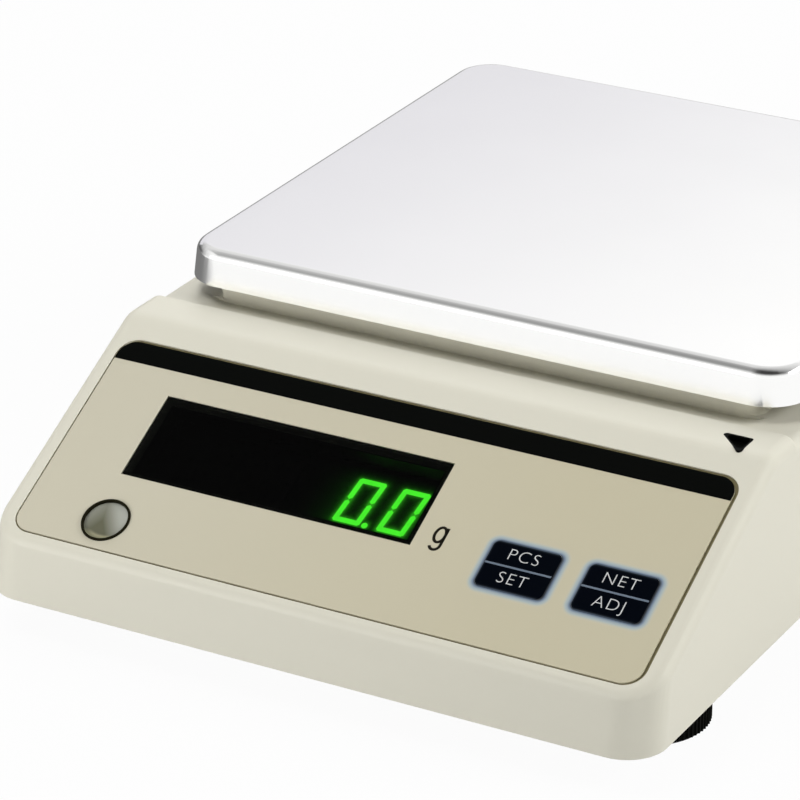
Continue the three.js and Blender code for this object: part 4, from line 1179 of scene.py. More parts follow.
def card_material(name, strength):
    """A material that only gives light; returns it, its tree and its colour socket."""
    material = bpy.data.materials.new(name)
    tree = empty_tree(material)
    output = tree.nodes.new("ShaderNodeOutputMaterial")
    glow = tree.nodes.new("ShaderNodeEmission")
    glow.inputs["Strength"].default_value = strength
    tree.links.new(glow.outputs["Emission"], output.inputs["Surface"])
    return material, tree, glow.inputs["Color"]


def shader_mix(tree, factor, first, second):
    """Two shaders mixed by a factor."""
    node = tree.nodes.new("ShaderNodeMixShader")
    for socket, value in zip(node.inputs, (factor, first, second)):
        tree.links.new(value, socket)
    return node.outputs["Shader"]


GROUPS = {}
FINISHES = {}


def make_finishes(scene):
    """Builds the shared groups and every material once."""
    GROUPS["moulded"] = moulded_group()
    GROUPS["metal"] = metal_group()
    GROUPS["edge"] = edge_distance_group()
    housing = scene.balance_housing
    panel = scene.balance_panel
    display = scene.balance_display
    FINISHES.update(
        cream=plastic("cream_plastic", housing.plastic, 0.44, drift=0.025, grain=1800),
        base=plastic("base_plastic", housing.base_plastic, 0.55, drift=0.05, grain=1200),
        film=film_material("overlay_film", panel.film),
        # Painted shade: a dark line for the shade in the groove round the film.
        film_edge=plastic("film_edge", (0.25, 0.222, 0.125), 0.6, drift=0.1, Specular_IOR_Level=0.1),
        stripe=plastic(
            "stripe_ink", (0.0020, 0.0024, 0.0020), 0.36, drift=0.2, grain=2600, Specular_IOR_Level=0.02,
        ),
        unit=plastic("unit_ink", (0.012, 0.010, 0.006), 0.4, drift=0.1, Specular_IOR_Level=0.05),
        key_line=plastic("key_line_ink", Vector(panel.key_line) * 0.6, 0.42, drift=0.15),
        legend=plastic("legend_ink", (0.60, 0.61, 0.61), 0.42, drift=0.05),
        black=plastic(
            "black_plastic", (0.0022, 0.0022, 0.0016), 0.42, drift=0.15, grain=1400, Specular_IOR_Level=0.02,
        ),
        rubber=plastic("rubber", (0.012, 0.012, 0.012), 0.8, drift=0.2, grain=900, bump=(0.3, 0.05)),
        led_body=plastic("led_body_plastic", (0.004, 0.004, 0.004), 0.6, drift=0.2),
        unlit=plastic("unlit_segment", (0.010, 0.014, 0.010), 0.5, drift=0.2),
        window=glass_material("smoked_window", (0.045, 0.05, 0.045), 0.03, 1.1),
        lit=glow_material("lit_segment", display.lit, display.strength),
        halo=halo_material("digit_halo", display.lit, display.strength),
        level_ring=plastic("level_ring", (0.012, 0.011, 0.005), 0.5, drift=0.15, Specular_IOR_Level=0.02),
        level_face=level_material("level_face"),
        vial=plastic("vial_liquid", (0.42, 0.44, 0.28), 0.2, drift=0.1),
        steel=metal(
            "stainless_steel", scene.balance_pan.steel, 0.165, swing=0.05, lines=1400, bump=(0.02, 0.003),
        ),
        aluminium=metal("cast_aluminium", (0.62, 0.63, 0.64), 0.42, swing=0.2, lines=600),
        zinc=metal("zinc_steel", (0.60, 0.61, 0.60), 0.32, swing=0.15),
        board=board_material("circuit_board", (0.018, 0.13, 0.045)),
        ribbon=ribbon_material("ribbon_cable"),
    )


# Geometry Nodes trees for what repeats or follows a path
def geometry_tree(name, inputs):
    """An empty geometry tree with named inputs; returns the tree, its entry and exit."""
    tree = bpy.data.node_groups.new(name, "GeometryNodeTree")
    tree.interface.new_socket(name="Geometry", in_out="INPUT", socket_type="NodeSocketGeometry")
    for label, kind, value in inputs:
        socket = tree.interface.new_socket(name=label, in_out="INPUT", socket_type=kind)
        if value is not None:
            socket.default_value = value
    tree.interface.new_socket(name="Geometry", in_out="OUTPUT", socket_type="NodeSocketGeometry")
    return tree, tree.nodes.new("NodeGroupInput"), tree.nodes.new("NodeGroupOutput")


def closing_nodes(tree, geometry, entry, leave):
    """Realize Instances and Set Material, then out."""
    real = tree.nodes.new("GeometryNodeRealizeInstances")
    paint = tree.nodes.new("GeometryNodeSetMaterial")
    tree.links.new(geometry, real.inputs["Geometry"])
    tree.links.new(real.outputs["Geometry"], paint.inputs["Geometry"])
    tree.links.new(entry.outputs["Material"], paint.inputs["Material"])
    tree.links.new(paint.outputs["Geometry"], leave.inputs["Geometry"])


def printed_line_tree():
    """A flat printed line of a given width and thickness along a curve."""
    tree, entry, leave = geometry_tree("printed_line", [
        ("Width", "NodeSocketFloat", 0.5),
        ("Thickness", "NodeSocketFloat", 0.05),
        ("Material", "NodeSocketMaterial", None),
    ])
    section = tree.nodes.new("GeometryNodeCurvePrimitiveQuadrilateral")
    follow = tree.nodes.new("GeometryNodeCurveToMesh")
    follow.inputs["Fill Caps"].default_value = True
    tree.links.new(entry.outputs["Width"], section.inputs["Width"])
    tree.links.new(entry.outputs["Thickness"], section.inputs["Height"])
    tree.links.new(entry.outputs["Geometry"], follow.inputs["Curve"])
    tree.links.new(section.outputs["Curve"], follow.inputs["Profile Curve"])
    closing_nodes(tree, follow.outputs["Mesh"], entry, leave)
    return tree


def row_tree():
    """Copies of the given mesh in a straight row along X, centred on the origin."""
    tree, entry, leave = geometry_tree("row_of_digits", [
        ("Count", "NodeSocketInt", 6),
        ("Pitch", "NodeSocketFloat", 1.0),
        ("Material", "NodeSocketMaterial", None),
    ])
    line = tree.nodes.new("GeometryNodeMeshLine")
    step = tree.nodes.new("ShaderNodeCombineXYZ")
    start = tree.nodes.new("ShaderNodeCombineXYZ")
    place = tree.nodes.new("GeometryNodeInstanceOnPoints")
    gaps = math_node(tree, "SUBTRACT", entry.outputs["Count"], 1)
    length = math_node(tree, "MULTIPLY", gaps, entry.outputs["Pitch"])
    tree.links.new(entry.outputs["Pitch"], step.inputs["X"])
    tree.links.new(math_node(tree, "MULTIPLY", length, -0.5), start.inputs["X"])
    tree.links.new(entry.outputs["Count"], line.inputs["Count"])
    tree.links.new(step.outputs["Vector"], line.inputs["Offset"])
    tree.links.new(start.outputs["Vector"], line.inputs["Start Location"])
    tree.links.new(line.outputs["Mesh"], place.inputs["Points"])
    tree.links.new(entry.outputs["Geometry"], place.inputs["Instance"])
    closing_nodes(tree, place.outputs["Instances"], entry, leave)
    return tree


def ring_tree():
    """Copies of the given mesh round a circle, each turned to face outwards."""
    tree, entry, leave = geometry_tree("ribs_round_a_wheel", [
        ("Count", "NodeSocketInt", 30),
        ("Radius", "NodeSocketFloat", 1.0),
        ("Material", "NodeSocketMaterial", None),
    ])
    circle = tree.nodes.new("GeometryNodeCurvePrimitiveCircle")
    points = tree.nodes.new("GeometryNodeCurveToPoints")
    points.mode = "COUNT"
    place = tree.nodes.new("GeometryNodeInstanceOnPoints")
    tree.links.new(entry.outputs["Radius"], circle.inputs["Radius"])
    tree.links.new(circle.outputs["Curve"], points.inputs["Curve"])
    tree.links.new(entry.outputs["Count"], points.inputs["Count"])
    tree.links.new(points.outputs["Points"], place.inputs["Points"])
    outward = tree.nodes.new("FunctionNodeAlignRotationToVector")
    outward.axis = "X"
    outward.pivot_axis = "Z"
    spot = tree.nodes.new("GeometryNodeInputPosition")
    tree.links.new(spot.outputs["Position"], outward.inputs["Vector"])
    tree.links.new(outward.outputs["Rotation"], place.inputs["Rotation"])
    tree.links.new(entry.outputs["Geometry"], place.inputs["Instance"])
    circle.inputs["Resolution"].default_value = 360
    closing_nodes(tree, place.outputs["Instances"], entry, leave)
    return tree


def grown(source, tree, values, name, place):
    """Runs a geometry tree on a source object and returns the plain mesh, in metres at its place."""
    modifier = source.modifiers.new(tree.name, "NODES")
    modifier.node_group = tree
    for item in tree.interface.items_tree:
        if item.in_out == "INPUT" and item.name in values:
            modifier[item.identifier] = values[item.name]
    mesh = evaluated_mesh(source, name)
    source.modifiers.remove(modifier)
    bpy.data.objects.remove(source)
    mesh.transform(Matrix.Scale(MM, 4) @ place)
    return mesh


def printed_line(source, name, width, finish, place):
    """A printed line along a curve object, as a plain mesh."""
    tree = bpy.data.node_groups.get("printed_line") or printed_line_tree()
    values = {"Width": width, "Thickness": 2 * PRINT_THICKNESS, "Material": finish}
    return grown(source, tree, values, name, place)


def add_line(data, points, closed):
    """Adds a poly line through flat points to a curve."""
    spline = data.splines.new("POLY")
    spline.points.add(len(points) - 1)
    for point, corner in zip(spline.points, points):
        point.co = (corner.x, corner.y, 0, 1)
    spline.use_cyclic_u = closed


def line_object(name, points, closed=True):
    """A poly curve through flat points, in millimetres."""
    data = bpy.data.curves.new(name, "CURVE")
    data.dimensions = "3D"
    add_line(data, points, closed)
    return object_of(name, data)


def lettering(name, words, height, place):
    """Raised print of a short plain legend, centred on its place."""
    data = bpy.data.curves.new(name, "FONT")
    data.body = words
    data.align_x = "CENTER"
    data.align_y = "CENTER"
    data.size = height
    data.offset = -LETTER_THINNING * height
    data.space_character = LETTER_SPACING
    data.extrude = PRINT_THICKNESS
    data.resolution_u = 6
    holder = object_of(name, data)
    mesh = evaluated_mesh(holder, name)
    bpy.data.objects.remove(holder)
    mesh.transform(Matrix.Scale(MM, 4) @ place)
    return mesh


def arc(centre, radii, start, sweep, steps=24):
    """Points along an ellipse's arc, with angles in quarter turns."""
    turns = [QUARTER * (start + sweep * k / steps) for k in range(steps + 1)]
    return [centre + Vector((radii.x * math.cos(t), radii.y * math.sin(t))) for t in turns]


def unit_letter():
    """The middle lines of the unit letter: a bowl, and a stem that ends in a hook."""
    letter = line_object("unit_letter", arc(Vector((0, 0)), UNIT_BOWL, 0, 4)[:-1])
    hook = arc(Vector((UNIT_BOWL.x - UNIT_HOOK.x, UNIT_STEM_LOW)), UNIT_HOOK, 0, -1.75)
    add_line(letter.data, [Vector((UNIT_BOWL.x, UNIT_STEM_TOP)), *hook], False)
    return letter


def on_panel(x, up, out=0.0):
    """A place on the panel."""
    return PANEL @ Matrix.Translation((x, up, out))


def notch_shape(side, low, high):
    """The ledge's three-cornered pocket, or a smaller body like it, between two heights from the ledge."""
    corner = NOTCH_CORNER
    slack = (NOTCH_SIDE - side) * NOTCH_SHIFT
    x = half_width_at(LEDGE_Z) - NOTCH_FROM_SIDE - slack
    y = LIP_Y - NOTCH_FROM_LIP - slack
    outline = []
    reach = side - corner
    for centre, start, sweep in (
        (Vector((-corner, -corner)), 0, 1),
        (Vector((-reach, -corner)), 1, 1.5),
        (Vector((-corner, -reach)), 2.5, 1.5),
    ):
        outline.extend(arc(centre, Vector((corner, corner)), start, sweep, 6))
    return slab_of(outline, LEDGE_Z + low, LEDGE_Z + high, x, y)


# Operators, one for each piece or group of like pieces
class BALANCE_OT_finishes(bpy.types.Operator):
    """Build the shader groups and materials, and finish the nodes that keep their CAD shape"""

    bl_idname = "balance.finishes"
    bl_label = "Finishes"

    def execute(self, context):
        make_finishes(context.scene)
        by_finish = {
            "base": ["base_plate"],
            "aluminium": ["pan_support_frame", "load_cell", "load_cell_base_block", "load_cell_top_block"],
            "board": ["display_board", "main_board"],
            "ribbon": ["ribbon_cable"],
            "vial": ["level_vial_cup"],
            "window": ["display_window"],
            "led_body": ["led_module_left", "led_module_right"],
            "level_face": ["level_lens"],
        }
        for finish, nodes in by_finish.items():
            for node in nodes:
                finish_node(node, FINISHES[finish])
        by_start = {
            "key_switch": "black", "display_board_screw": "zinc", "pan_buffer": "rubber",
            "load_cell_base_bolt": "zinc", "load_cell_top_bolt": "zinc", "overload_stop": "zinc",
            "main_board_screw": "zinc", "housing_screw": "zinc", "foot_stud": "zinc", "foot_pad": "rubber",
            "foot_wheel": "black", "power_switch": "black", "power_rocker": "black", "dc_inlet": "black",
            "level_bezel": "level_ring", "key_cap": "black", "weighing_pan": "steel",
            "upper_housing": "cream", "front_overlay": "film",
        }
        for node in frame["nodes"]:
            for start, finish in by_start.items():
                if node.startswith(start):
                    finish_node(node, FINISHES[finish])
        return {"FINISHED"}


class BALANCE_OT_housing(bpy.types.Operator):
    """Build the moulded cover with its recess, openings and rear pocket"""

    bl_idname = "balance.housing"
    bl_label = "Housing"

    def execute(self, context):
        edge = context.scene.balance_housing.edge_radius / MM
        open_z = RIM_Z - CUT_OVERRUN
        through = HOUSING_WALL + 2 * CUT_OVERRUN
        key_hole = key_outline(FIT_GAP)
        steps = [
            add(deck_body(0, RIM_Z, edge)),
            add(tray_body(
                PLINTH_WIDTH, PLINTH_DEPTH, DECK_Z - HOUSING_WALL, PLINTH_TOP_Z,
                PLINTH_CORNER_RADIUS, PLINTH_EDGE_RADIUS, 0, PLINTH_Y,
            )),
            cut(console_body(HOUSING_WALL, open_z, edge)),
            cut(deck_body(HOUSING_WALL, open_z, edge)),
            cut(tray_body(
                PLINTH_WIDTH - 2 * HOUSING_WALL, PLINTH_DEPTH - 2 * HOUSING_WALL,
                DECK_Z - 2 * HOUSING_WALL, PLINTH_TOP_Z - HOUSING_WALL,
                PLINTH_CORNER_RADIUS - HOUSING_WALL, INNER_EDGE_RADIUS, 0, PLINTH_Y,
            )),
            cut(slab_of(
                overlay_outline(GROOVE_GAP), -FILM_THICKNESS - SEAT_GAP, CUT_OVERRUN,
                GROOVE_RIGHT, OVERLAY_UP + GROOVE_UP,
            ), PANEL),
            cut(window_block(FIT_GAP, -WINDOW_THICKNESS - SEAT_GAP, CUT_OVERRUN), PANEL),
            cut(window_block(-WINDOW_RIM, -through, CUT_OVERRUN), PANEL),
            cut(rod_of(LEVEL_RADIUS + FIT_GAP, -through, CUT_OVERRUN, LEVEL_X, LEVEL_UP), PANEL),
            *(cut(slab_of(key_hole, -through, CUT_OVERRUN, x, KEY_UP), PANEL) for x in KEY_PLACES.values()),
            *self.trough(),
            *self.post_holes(),
            *self.rear_openings(),
            cut(notch_shape(NOTCH_SIDE, -NOTCH_DEPTH, CUT_OVERRUN)),
        ]
        shell = booled("housing_cover", console_body(0, RIM_Z, edge), steps)
        piece = finished_piece(
            "housing_cover", smoothed(shell, "housing_cover"), "housing", FINISHES["cream"],
        )
        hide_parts("upper_housing")
        # Painted shade: a thin black sheet lines the shallow pocket so that it looks as dark as a deep hole.
        side = NOTCH_SIDE - NOTCH_GAP
        hollow = notch_shape(side - NOTCH_SHADE_SHEET_NARROWER, NOTCH_SHADE_SHEET - NOTCH_DEPTH, CUT_OVERRUN)
        shade_sheet = booled(
            "notch_lining", notch_shape(side, -NOTCH_DEPTH + NOTCH_GAP, -NOTCH_GAP), [cut(hollow)],
        )
        finished_piece("notch_lining", shade_sheet, "housing", FINISHES["black"])
        return {"FINISHED"}

    def trough(self):
        """The trough between the ledge and the plinth, and the wall under it."""
        width = PLINTH_WIDTH + 2 * TROUGH_BEYOND_PLINTH
        depth = PLINTH_SETBACK - TROUGH_FROM_LIP
        y = LIP_Y + TROUGH_FROM_LIP + depth / 2
        floor_z = DECK_Z - TROUGH_DEPTH
        backing = block_of(
            width + 2 * HOUSING_WALL, depth + 2 * HOUSING_WALL,
            floor_z - HOUSING_WALL, DECK_Z - CUT_OVERRUN, 0, y,
        )
        levels = (
            (floor_z, width / 2 - TROUGH_RAMP),
            (DECK_Z, width / 2),
            (DECK_Z + CUT_OVERRUN, width / 2),
        )
        corners = [
            Vector((side * half, y + end * depth / 2, z))
            for z, half in levels for side in (-1, 1) for end in (-1, 1)
        ]
        return [add(backing), cut(hull_of(corners))]

    def post_holes(self):
        """Round holes in the plinth for the pan support's posts."""
        centres = [node_size(node)[1] for node in sorted(frame["nodes"]) if node.startswith("pan_buffer")]
        low, high = DECK_Z - HOUSING_WALL, PLINTH_TOP_Z + CUT_OVERRUN
        return [cut(rod_of(POST_HOLE_RADIUS, low, high, centre.x, centre.y)) for centre in centres]

    def rear_openings(self):
        """The rear pocket, the switch's opening and the inlet's hole."""
        switch = node_size("power_switch_body")[1]
        inlet = node_size("dc_inlet")[1]
        pocket_x = inlet.x - POCKET_FROM_INLET
        floor_y = rear_y_at(switch.z) - POCKET_DEPTH
        upright = Matrix.Translation((0, floor_y, switch.z)) @ Matrix.Rotation(-QUARTER, 4, "X")
        backing = block_of(
            POCKET_WIDTH + 2 * HOUSING_WALL, POCKET_HEIGHT + 2 * HOUSING_WALL,
            -HOUSING_WALL, POCKET_DEPTH / 2, pocket_x,
        )
        outline = rounded_outline(POCKET_WIDTH, POCKET_HEIGHT, POCKET_RADIUS)
        pocket = slab_of(outline, 0, POCKET_DEPTH + CUT_OVERRUN, pocket_x)
        low = -2 * HOUSING_WALL
        slot = block_of(SWITCH_OPENING_WIDTH, SWITCH_OPENING_HEIGHT, low, CUT_OVERRUN, switch.x)
        nose = rod_of(INLET_HOLE_RADIUS, low, CUT_OVERRUN, inlet.x)
        return [add(backing, upright), *(cut(shape, upright) for shape in (pocket, slot, nose))]


class BALANCE_OT_overlay(bpy.types.Operator):
    """Build the front overlay with its printed stripe and unit letter"""

    bl_idname = "balance.overlay"
    bl_label = "Front overlay"

    def execute(self, context):
        low = -FILM_THICKNESS - CUT_OVERRUN
        key_hole = key_outline(KEY_GAP)
        openings = [
            window_block(FIT_GAP, low, CUT_OVERRUN),
            rod_of(LEVEL_RADIUS + FILM_GAP, low, CUT_OVERRUN, LEVEL_X, LEVEL_UP),
            *(slab_of(key_hole, low, CUT_OVERRUN, x, KEY_UP) for x in KEY_PLACES.values()),
        ]
        film = placed(slab_of(overlay_outline(), -FILM_THICKNESS, 0, 0, OVERLAY_UP, FILM_BEVEL), PANEL)
        mesh = booled("overlay_film", film, [cut(opening, PANEL) for opening in openings])
        piece = finished_piece(
            "overlay_film", smoothed(mesh, "overlay_film"), "housing", FINISHES["film"],
        )
        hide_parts("front_overlay")
        # Painted shade: a dark line printed in the groove round the film, where the groove's shade falls.
        edge = printed_line(
            line_object("film_edge", overlay_outline(GROOVE_GAP / 2)), "film_edge",
            GROOVE_GAP + 2 * GROOVE_RIGHT, FINISHES["film_edge"],
            on_panel(GROOVE_RIGHT, OVERLAY_UP + GROOVE_UP, -FILM_THICKNESS - FILM_GAP),
        )
        finished_piece("film_edge", edge, "housing", FINISHES["film_edge"])
        self.stripe(context.scene.balance_panel.stripe_height / MM)
        letter = printed_line(
            unit_letter(), "unit_print", UNIT_LETTER_LINE, FINISHES["unit"],
            on_panel(UNIT_LETTER_X, UNIT_LETTER_UP),
        )
        finished_piece("unit_print", letter, "housing", FINISHES["unit"])
        return {"FINISHED"}

    def stripe(self, height):
        """The dark stripe along the overlay's top."""
        low = OVERLAY_HEIGHT / 2 - height
        half = OVERLAY_WIDTH / 2
        corners = [
            *(point for point in overlay_outline() if point.y > low),
            Vector((-half, low)),
            Vector((half, low)),
        ]
        shape = slab_of(corners, -PRINT_THICKNESS, PRINT_THICKNESS, 0, OVERLAY_UP)
        stripe = mesh_from("stripe_print", shape, PANEL)
        finished_piece("stripe_print", stripe, "housing", FINISHES["stripe"])


def segment_outlines():
    """Outlines of the seven segments of one digit about its centre."""
    right = DIGIT_WIDTH / 2
    top = DIGIT_HEIGHT / 2
    width = SEGMENT_WIDTH
    snip = SEGMENT_CORNER_CUT
    middle = SEGMENT_GAP + POST_END_SHARE * width
    bar = [
        (right - snip, top), (right - snip / 2, top - snip / 2), (right - width, top - width),
        (width - right, top - width), (snip / 2 - right, top - snip / 2), (snip - right, top),
    ]
    post = [
        (right - snip / 2, top - snip / 2), (right, top - snip), (right, middle),
        (right - width / 2, SEGMENT_GAP / 2), (right - width, middle), (right - width, top - width),
    ]
    reach = right - width / 2 - SEGMENT_GAP
    dash = [
        (-reach, 0), (width / 2 - reach, width / 2), (reach - width / 2, width / 2),
        (reach, 0), (reach - width / 2, -width / 2), (width / 2 - reach, -width / 2),
    ]
    flips = {
        "a": (bar, 1, 1), "b": (post, 1, 1), "c": (post, 1, -1), "d": (bar, 1, -1),
        "e": (post, -1, -1), "f": (post, -1, 1), "g": (dash, 1, 1),
    }
    outlines = {}
    for letter, (points, side, rise) in flips.items():
        corners = [slanted(Vector((side * x, rise * y))) for x, y in points]
        outlines[letter] = corners if side * rise > 0 else corners[::-1]
    return outlines


def segment_lines():
    """Middle lines of the segments, for the light that spills round them."""
    right = DIGIT_WIDTH / 2 - SEGMENT_WIDTH / 2
    top = DIGIT_HEIGHT / 2 - SEGMENT_WIDTH / 2
    ends = {
        "a": ((-right, top), (right, top)),
        "b": ((right, top), (right, 0)),
        "c": ((right, 0), (right, -top)),
        "d": ((-right, -top), (right, -top)),
        "e": ((-right, 0), (-right, -top)),
        "f": ((-right, top), (-right, 0)),
        "g": ((-right, 0), (right, 0)),
    }
    return {letter: (slanted(Vector(start)), slanted(Vector(end))) for letter, (start, end) in ends.items()}


def slanted(point):
    """A point of the digit leaning to the right."""
    return Vector((point.x + point.y * math.tan(DIGIT_SLANT), point.y))


def segment_slabs(letters, with_point=False):
    """A bmesh with raised bars for the named segments of one digit."""
    whole = bmesh.new()
    outlines = [segment_outlines()[letter] for letter in letters]
    if with_point:
        outlines.append([POINT_OFFSET + p for p in round_outline(POINT_RADIUS, POINT_SIDES)])
    for outline in outlines:
        part = slab_of(outline, 0, SEGMENT_RAISE)
        holder = bpy.data.meshes.new("segment")
        part.to_mesh(holder)
        part.free()
        whole.from_mesh(holder)
        bpy.data.meshes.remove(holder)
    return whole


class BALANCE_OT_display(bpy.types.Operator):
    """Build the row of segment digits behind the window, two of them lit"""

    bl_idname = "balance.display"
    bl_label = "Display digits"

    def execute(self, context):
        settings = context.scene.balance_display
        middle = Vector((WINDOW_X, WINDOW_UP)) + DIGIT_SHIFT
        digit = bpy.data.meshes.new("digit")
        shape = segment_slabs("abcdefg", with_point=True)
        bmesh.ops.scale(shape, vec=(1, 1, UNLIT_RAISE_SHARE), verts=shape.verts)
        shape.to_mesh(digit)
        shape.free()
        row = grown(
            object_of("unlit_digits", digit), row_tree(),
            {"Count": settings.digits, "Pitch": DIGIT_PITCH, "Material": FINISHES["unlit"]},
            "unlit_digits", on_panel(middle.x, middle.y, -LED_RECESS),
        )
        finished_piece("unlit_digits", row, "housing", FINISHES["unlit"])
        last = middle.x + (settings.digits - 1) * DIGIT_PITCH / 2
        for name, x, letters, with_point in (
            ("lit_digit_units", last - DIGIT_PITCH, SEGMENTS_OF_ZERO, True),
            ("lit_digit_tenths", last, SEGMENTS_OF_ZERO, False),
        ):
            bars = segment_slabs(letters, with_point)
            mesh = mesh_from(name, bars, on_panel(x, middle.y, -LED_RECESS))
            finished_piece(name, mesh, "housing", FINISHES["lit"])
        self.halo(last, middle.y)
        self.liner()
        return {"FINISHED"}

    def halo(self, last, up):
        """A thin face round the lit digits that carries the spilled light in its spill attribute."""
        columns = HALO_WIDTH * HALO_CELLS_PER_MM
        rows = HALO_HEIGHT * HALO_CELLS_PER_MM
        lines = []
        for x, with_point in ((last - DIGIT_PITCH, True), (last, False)):
            shift = Vector((x, 0))
            for letter in SEGMENTS_OF_ZERO:
                start, end = segment_lines()[letter]
                lines.append((start + shift, end + shift))
            if with_point:
                lines.append((POINT_OFFSET + shift, POINT_OFFSET + shift))
        left = WINDOW_X + WINDOW_WIDTH / 2 - WINDOW_RIM - HALO_WIDTH
        low = WINDOW_UP - up - WINDOW_HEIGHT / 2 + WINDOW_RIM
        face = on_panel(0, up, -LED_RECESS + HALO_RAISE_SHARE * SEGMENT_RAISE)
        verts = []
        spill = []
        for j in range(rows + 1):
            for i in range(columns + 1):
                spot = Vector((left + HALO_WIDTH * i / columns, low + HALO_HEIGHT * j / rows))
                near = min(self.distance(spot, start, end) for start, end in lines) - SEGMENT_WIDTH / 2
                near = max(near, 0)
                light = HALO_NEAR * math.exp(-near / HALO_NEAR_REACH)
                light += HALO_FAR * math.exp(-near / HALO_FAR_REACH)
                spill.append(light * min(i / HALO_FADE_SIDE, (rows - j) / HALO_FADE_TOP, 1))
                verts.append(face @ Vector((spot.x, spot.y, 0)) * MM)
        row = columns + 1
        faces = [
            (j * row + i, j * row + i + 1, (j + 1) * row + i + 1, (j + 1) * row + i)
            for j in range(rows) for i in range(columns)
        ]
        mesh = bpy.data.meshes.new("digit_halo")
        mesh.from_pydata(verts, [], faces)
        layer = mesh.attributes.new("spill", "FLOAT", "POINT")
        layer.data.foreach_set("value", spill)
        finished_piece("digit_halo", mesh, "housing", FINISHES["halo"])

    def liner(self):
        """A thin black frame that lines the opening down to the digits."""
        gap = -WINDOW_RIM - FILM_GAP
        top = -WINDOW_THICKNESS - SEAT_GAP - FILM_GAP
        low = -LED_RECESS + SEGMENT_RAISE + FILM_GAP
        outer = placed(window_block(gap, low, top), PANEL)
        inner = window_block(gap - LINER_WALL, low - CUT_OVERRUN, top + CUT_OVERRUN)
        liner = booled("window_liner", outer, [cut(inner, PANEL)])
        finished_piece("window_liner", liner, "housing", FINISHES["led_body"])

    @staticmethod
    def distance(spot, start, end):
        """From a spot to a line between two ends."""
        along = end - start
        length = along.length_squared
        share = 0 if length == 0 else max(0, min(1, (spot - start).dot(along) / length))
        return (spot - start - along * share).length


class BALANCE_OT_keys(bpy.types.Operator):
    """Build the two push keys with their printed outlines, dividing lines and legends"""

    bl_idname = "balance.keys"
    bl_label = "Keys"

    def execute(self, context):
        settings = context.scene.balance_panel
        line = settings.line_width / MM
        letter_size = settings.legend_height / MM / CAPITAL_SHARE
        half = KEY_WIDTH / 2 - KEY_PROUD
        quarter = KEY_HEIGHT / 4 - line / 4
        for side, x in KEY_PLACES.items():
            body = f"{side}_key"
            name = f"{side}_key_face"
            cap = slab_of(key_outline(), -KEY_SKIRT, KEY_PROUD, bevel=KEY_BEVEL)
            face = smoothed(mesh_from(name, cap, on_panel(x, KEY_UP)), name)
            piece = finished_piece(name, face, body, key_material(name, x, settings))
            self.printed_frame(side, x, settings)
            finished_piece(
                f"{side}_key_stem", self.key_under(side, x), body, FINISHES["black"],
            )
            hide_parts(f"key_cap_{side}")
            name = f"{side}_key_divider"
            divider = printed_line(
                line_object(name, [Vector((-half, 0)), Vector((half, 0))], closed=False), name,
                line, FINISHES["key_line"], on_panel(x, KEY_UP, KEY_PROUD - KEY_DIVIDER_SUNK),
            )
            finished_piece(name, divider, body, FINISHES["key_line"])
            for part, up in (("high", quarter), ("low", -quarter)):
                name = f"{side}_key_legend_{part}"
                words = getattr(settings, f"legend_{side}_{part}")
                letters = lettering(name, words, letter_size, on_panel(x, KEY_UP + up, KEY_PROUD))
                finished_piece(name, letters, body, FINISHES["legend"])
        return {"FINISHED"}

    def printed_frame(self, side, x, settings):
        """The soft pale frame printed on the film round a key."""
        name = f"{side}_key_frame"
        bm = bmesh.new()
        inner, outer = (
            [bm.verts.new((p.x, p.y, PRINT_THICKNESS / 2)) for p in key_outline(gap)]
            for gap in (KEY_GAP, KEY_FRAME)
        )
        count = len(inner)
        for k in range(count):
            after = (k + 1) % count
            bm.faces.new((inner[k], outer[k], outer[after], inner[after]))
        bmesh.ops.recalc_face_normals(bm, faces=bm.faces)
        mesh = mesh_from(name, bm, on_panel(x, KEY_UP))
        finished_piece(name, mesh, "housing", frame_material(name, x, settings))

    def key_under(self, side, x):
        """The flange and stem under a key's face."""
        place = on_panel(x, KEY_UP)
        flange = block_of(
            KEY_WIDTH + 2 * KEY_FLANGE_PROUD, KEY_HEIGHT + 2 * KEY_FLANGE_PROUD, KEY_FLANGE_LOW, KEY_FLANGE_TOP,
        )
        stem = block_of(KEY_STEM_SIDE, KEY_STEM_SIDE, KEY_STEM_LOW, KEY_STEM_TOP)
        neck = slab_of(key_outline(), KEY_NECK_LOW, -KEY_SKIRT)
        return booled(f"{side}_key_stem", placed(flange, place), [add(stem, place), add(neck, place)])


class BALANCE_OT_level(bpy.types.Operator):
    """Build the level's rounded ring"""

    bl_idname = "balance.level"
    bl_label = "Spirit level"

    def execute(self, context):
        inner = LEVEL_RADIUS - LEVEL_RING_WIDTH
        soft = LEVEL_RING_WIDTH / 2
        rise = LEVEL_RING_FLATNESS * soft
        profile = [(inner, -LEVEL_RING_LENGTH), (LEVEL_RADIUS, -LEVEL_RING_LENGTH)]
        for step in range(RING_STEPS + 1):
            turn = math.pi * step / RING_STEPS
            profile.append((
                inner + soft + soft * math.cos(turn),
                LEVEL_RING_PROUD - rise + rise * math.sin(turn),
            ))
        place = on_panel(LEVEL_X, LEVEL_UP)
        ring = mesh_from("level_ring", turned_profile(profile), place)
        ring = smoothed(ring, "level_ring", ROUND_SHARP_ANGLE)
        piece = finished_piece("level_ring", ring, "housing", FINISHES["level_ring"])
        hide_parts("level_bezel")
        reach = inner - LEVEL_FACE_GAP
        low = LEVEL_LENS_EDGE - LEVEL_FACE_THICKNESS
        dome = [(0, low), (reach, low)]
        for step in range(DOME_STEPS + 1):
            share = 1 - step / DOME_STEPS
            dome.append((reach * share, LEVEL_LENS_EDGE + LEVEL_LENS_RISE * (1 - share * share)))
        lens = mesh_from("level_face", turned_profile(dome), place)
        lens = smoothed(lens, "level_face", ROUND_SHARP_ANGLE)
        face = finished_piece("level_face", lens, "housing", FINISHES["level_face"])
        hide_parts("level_lens")
        return {"FINISHED"}


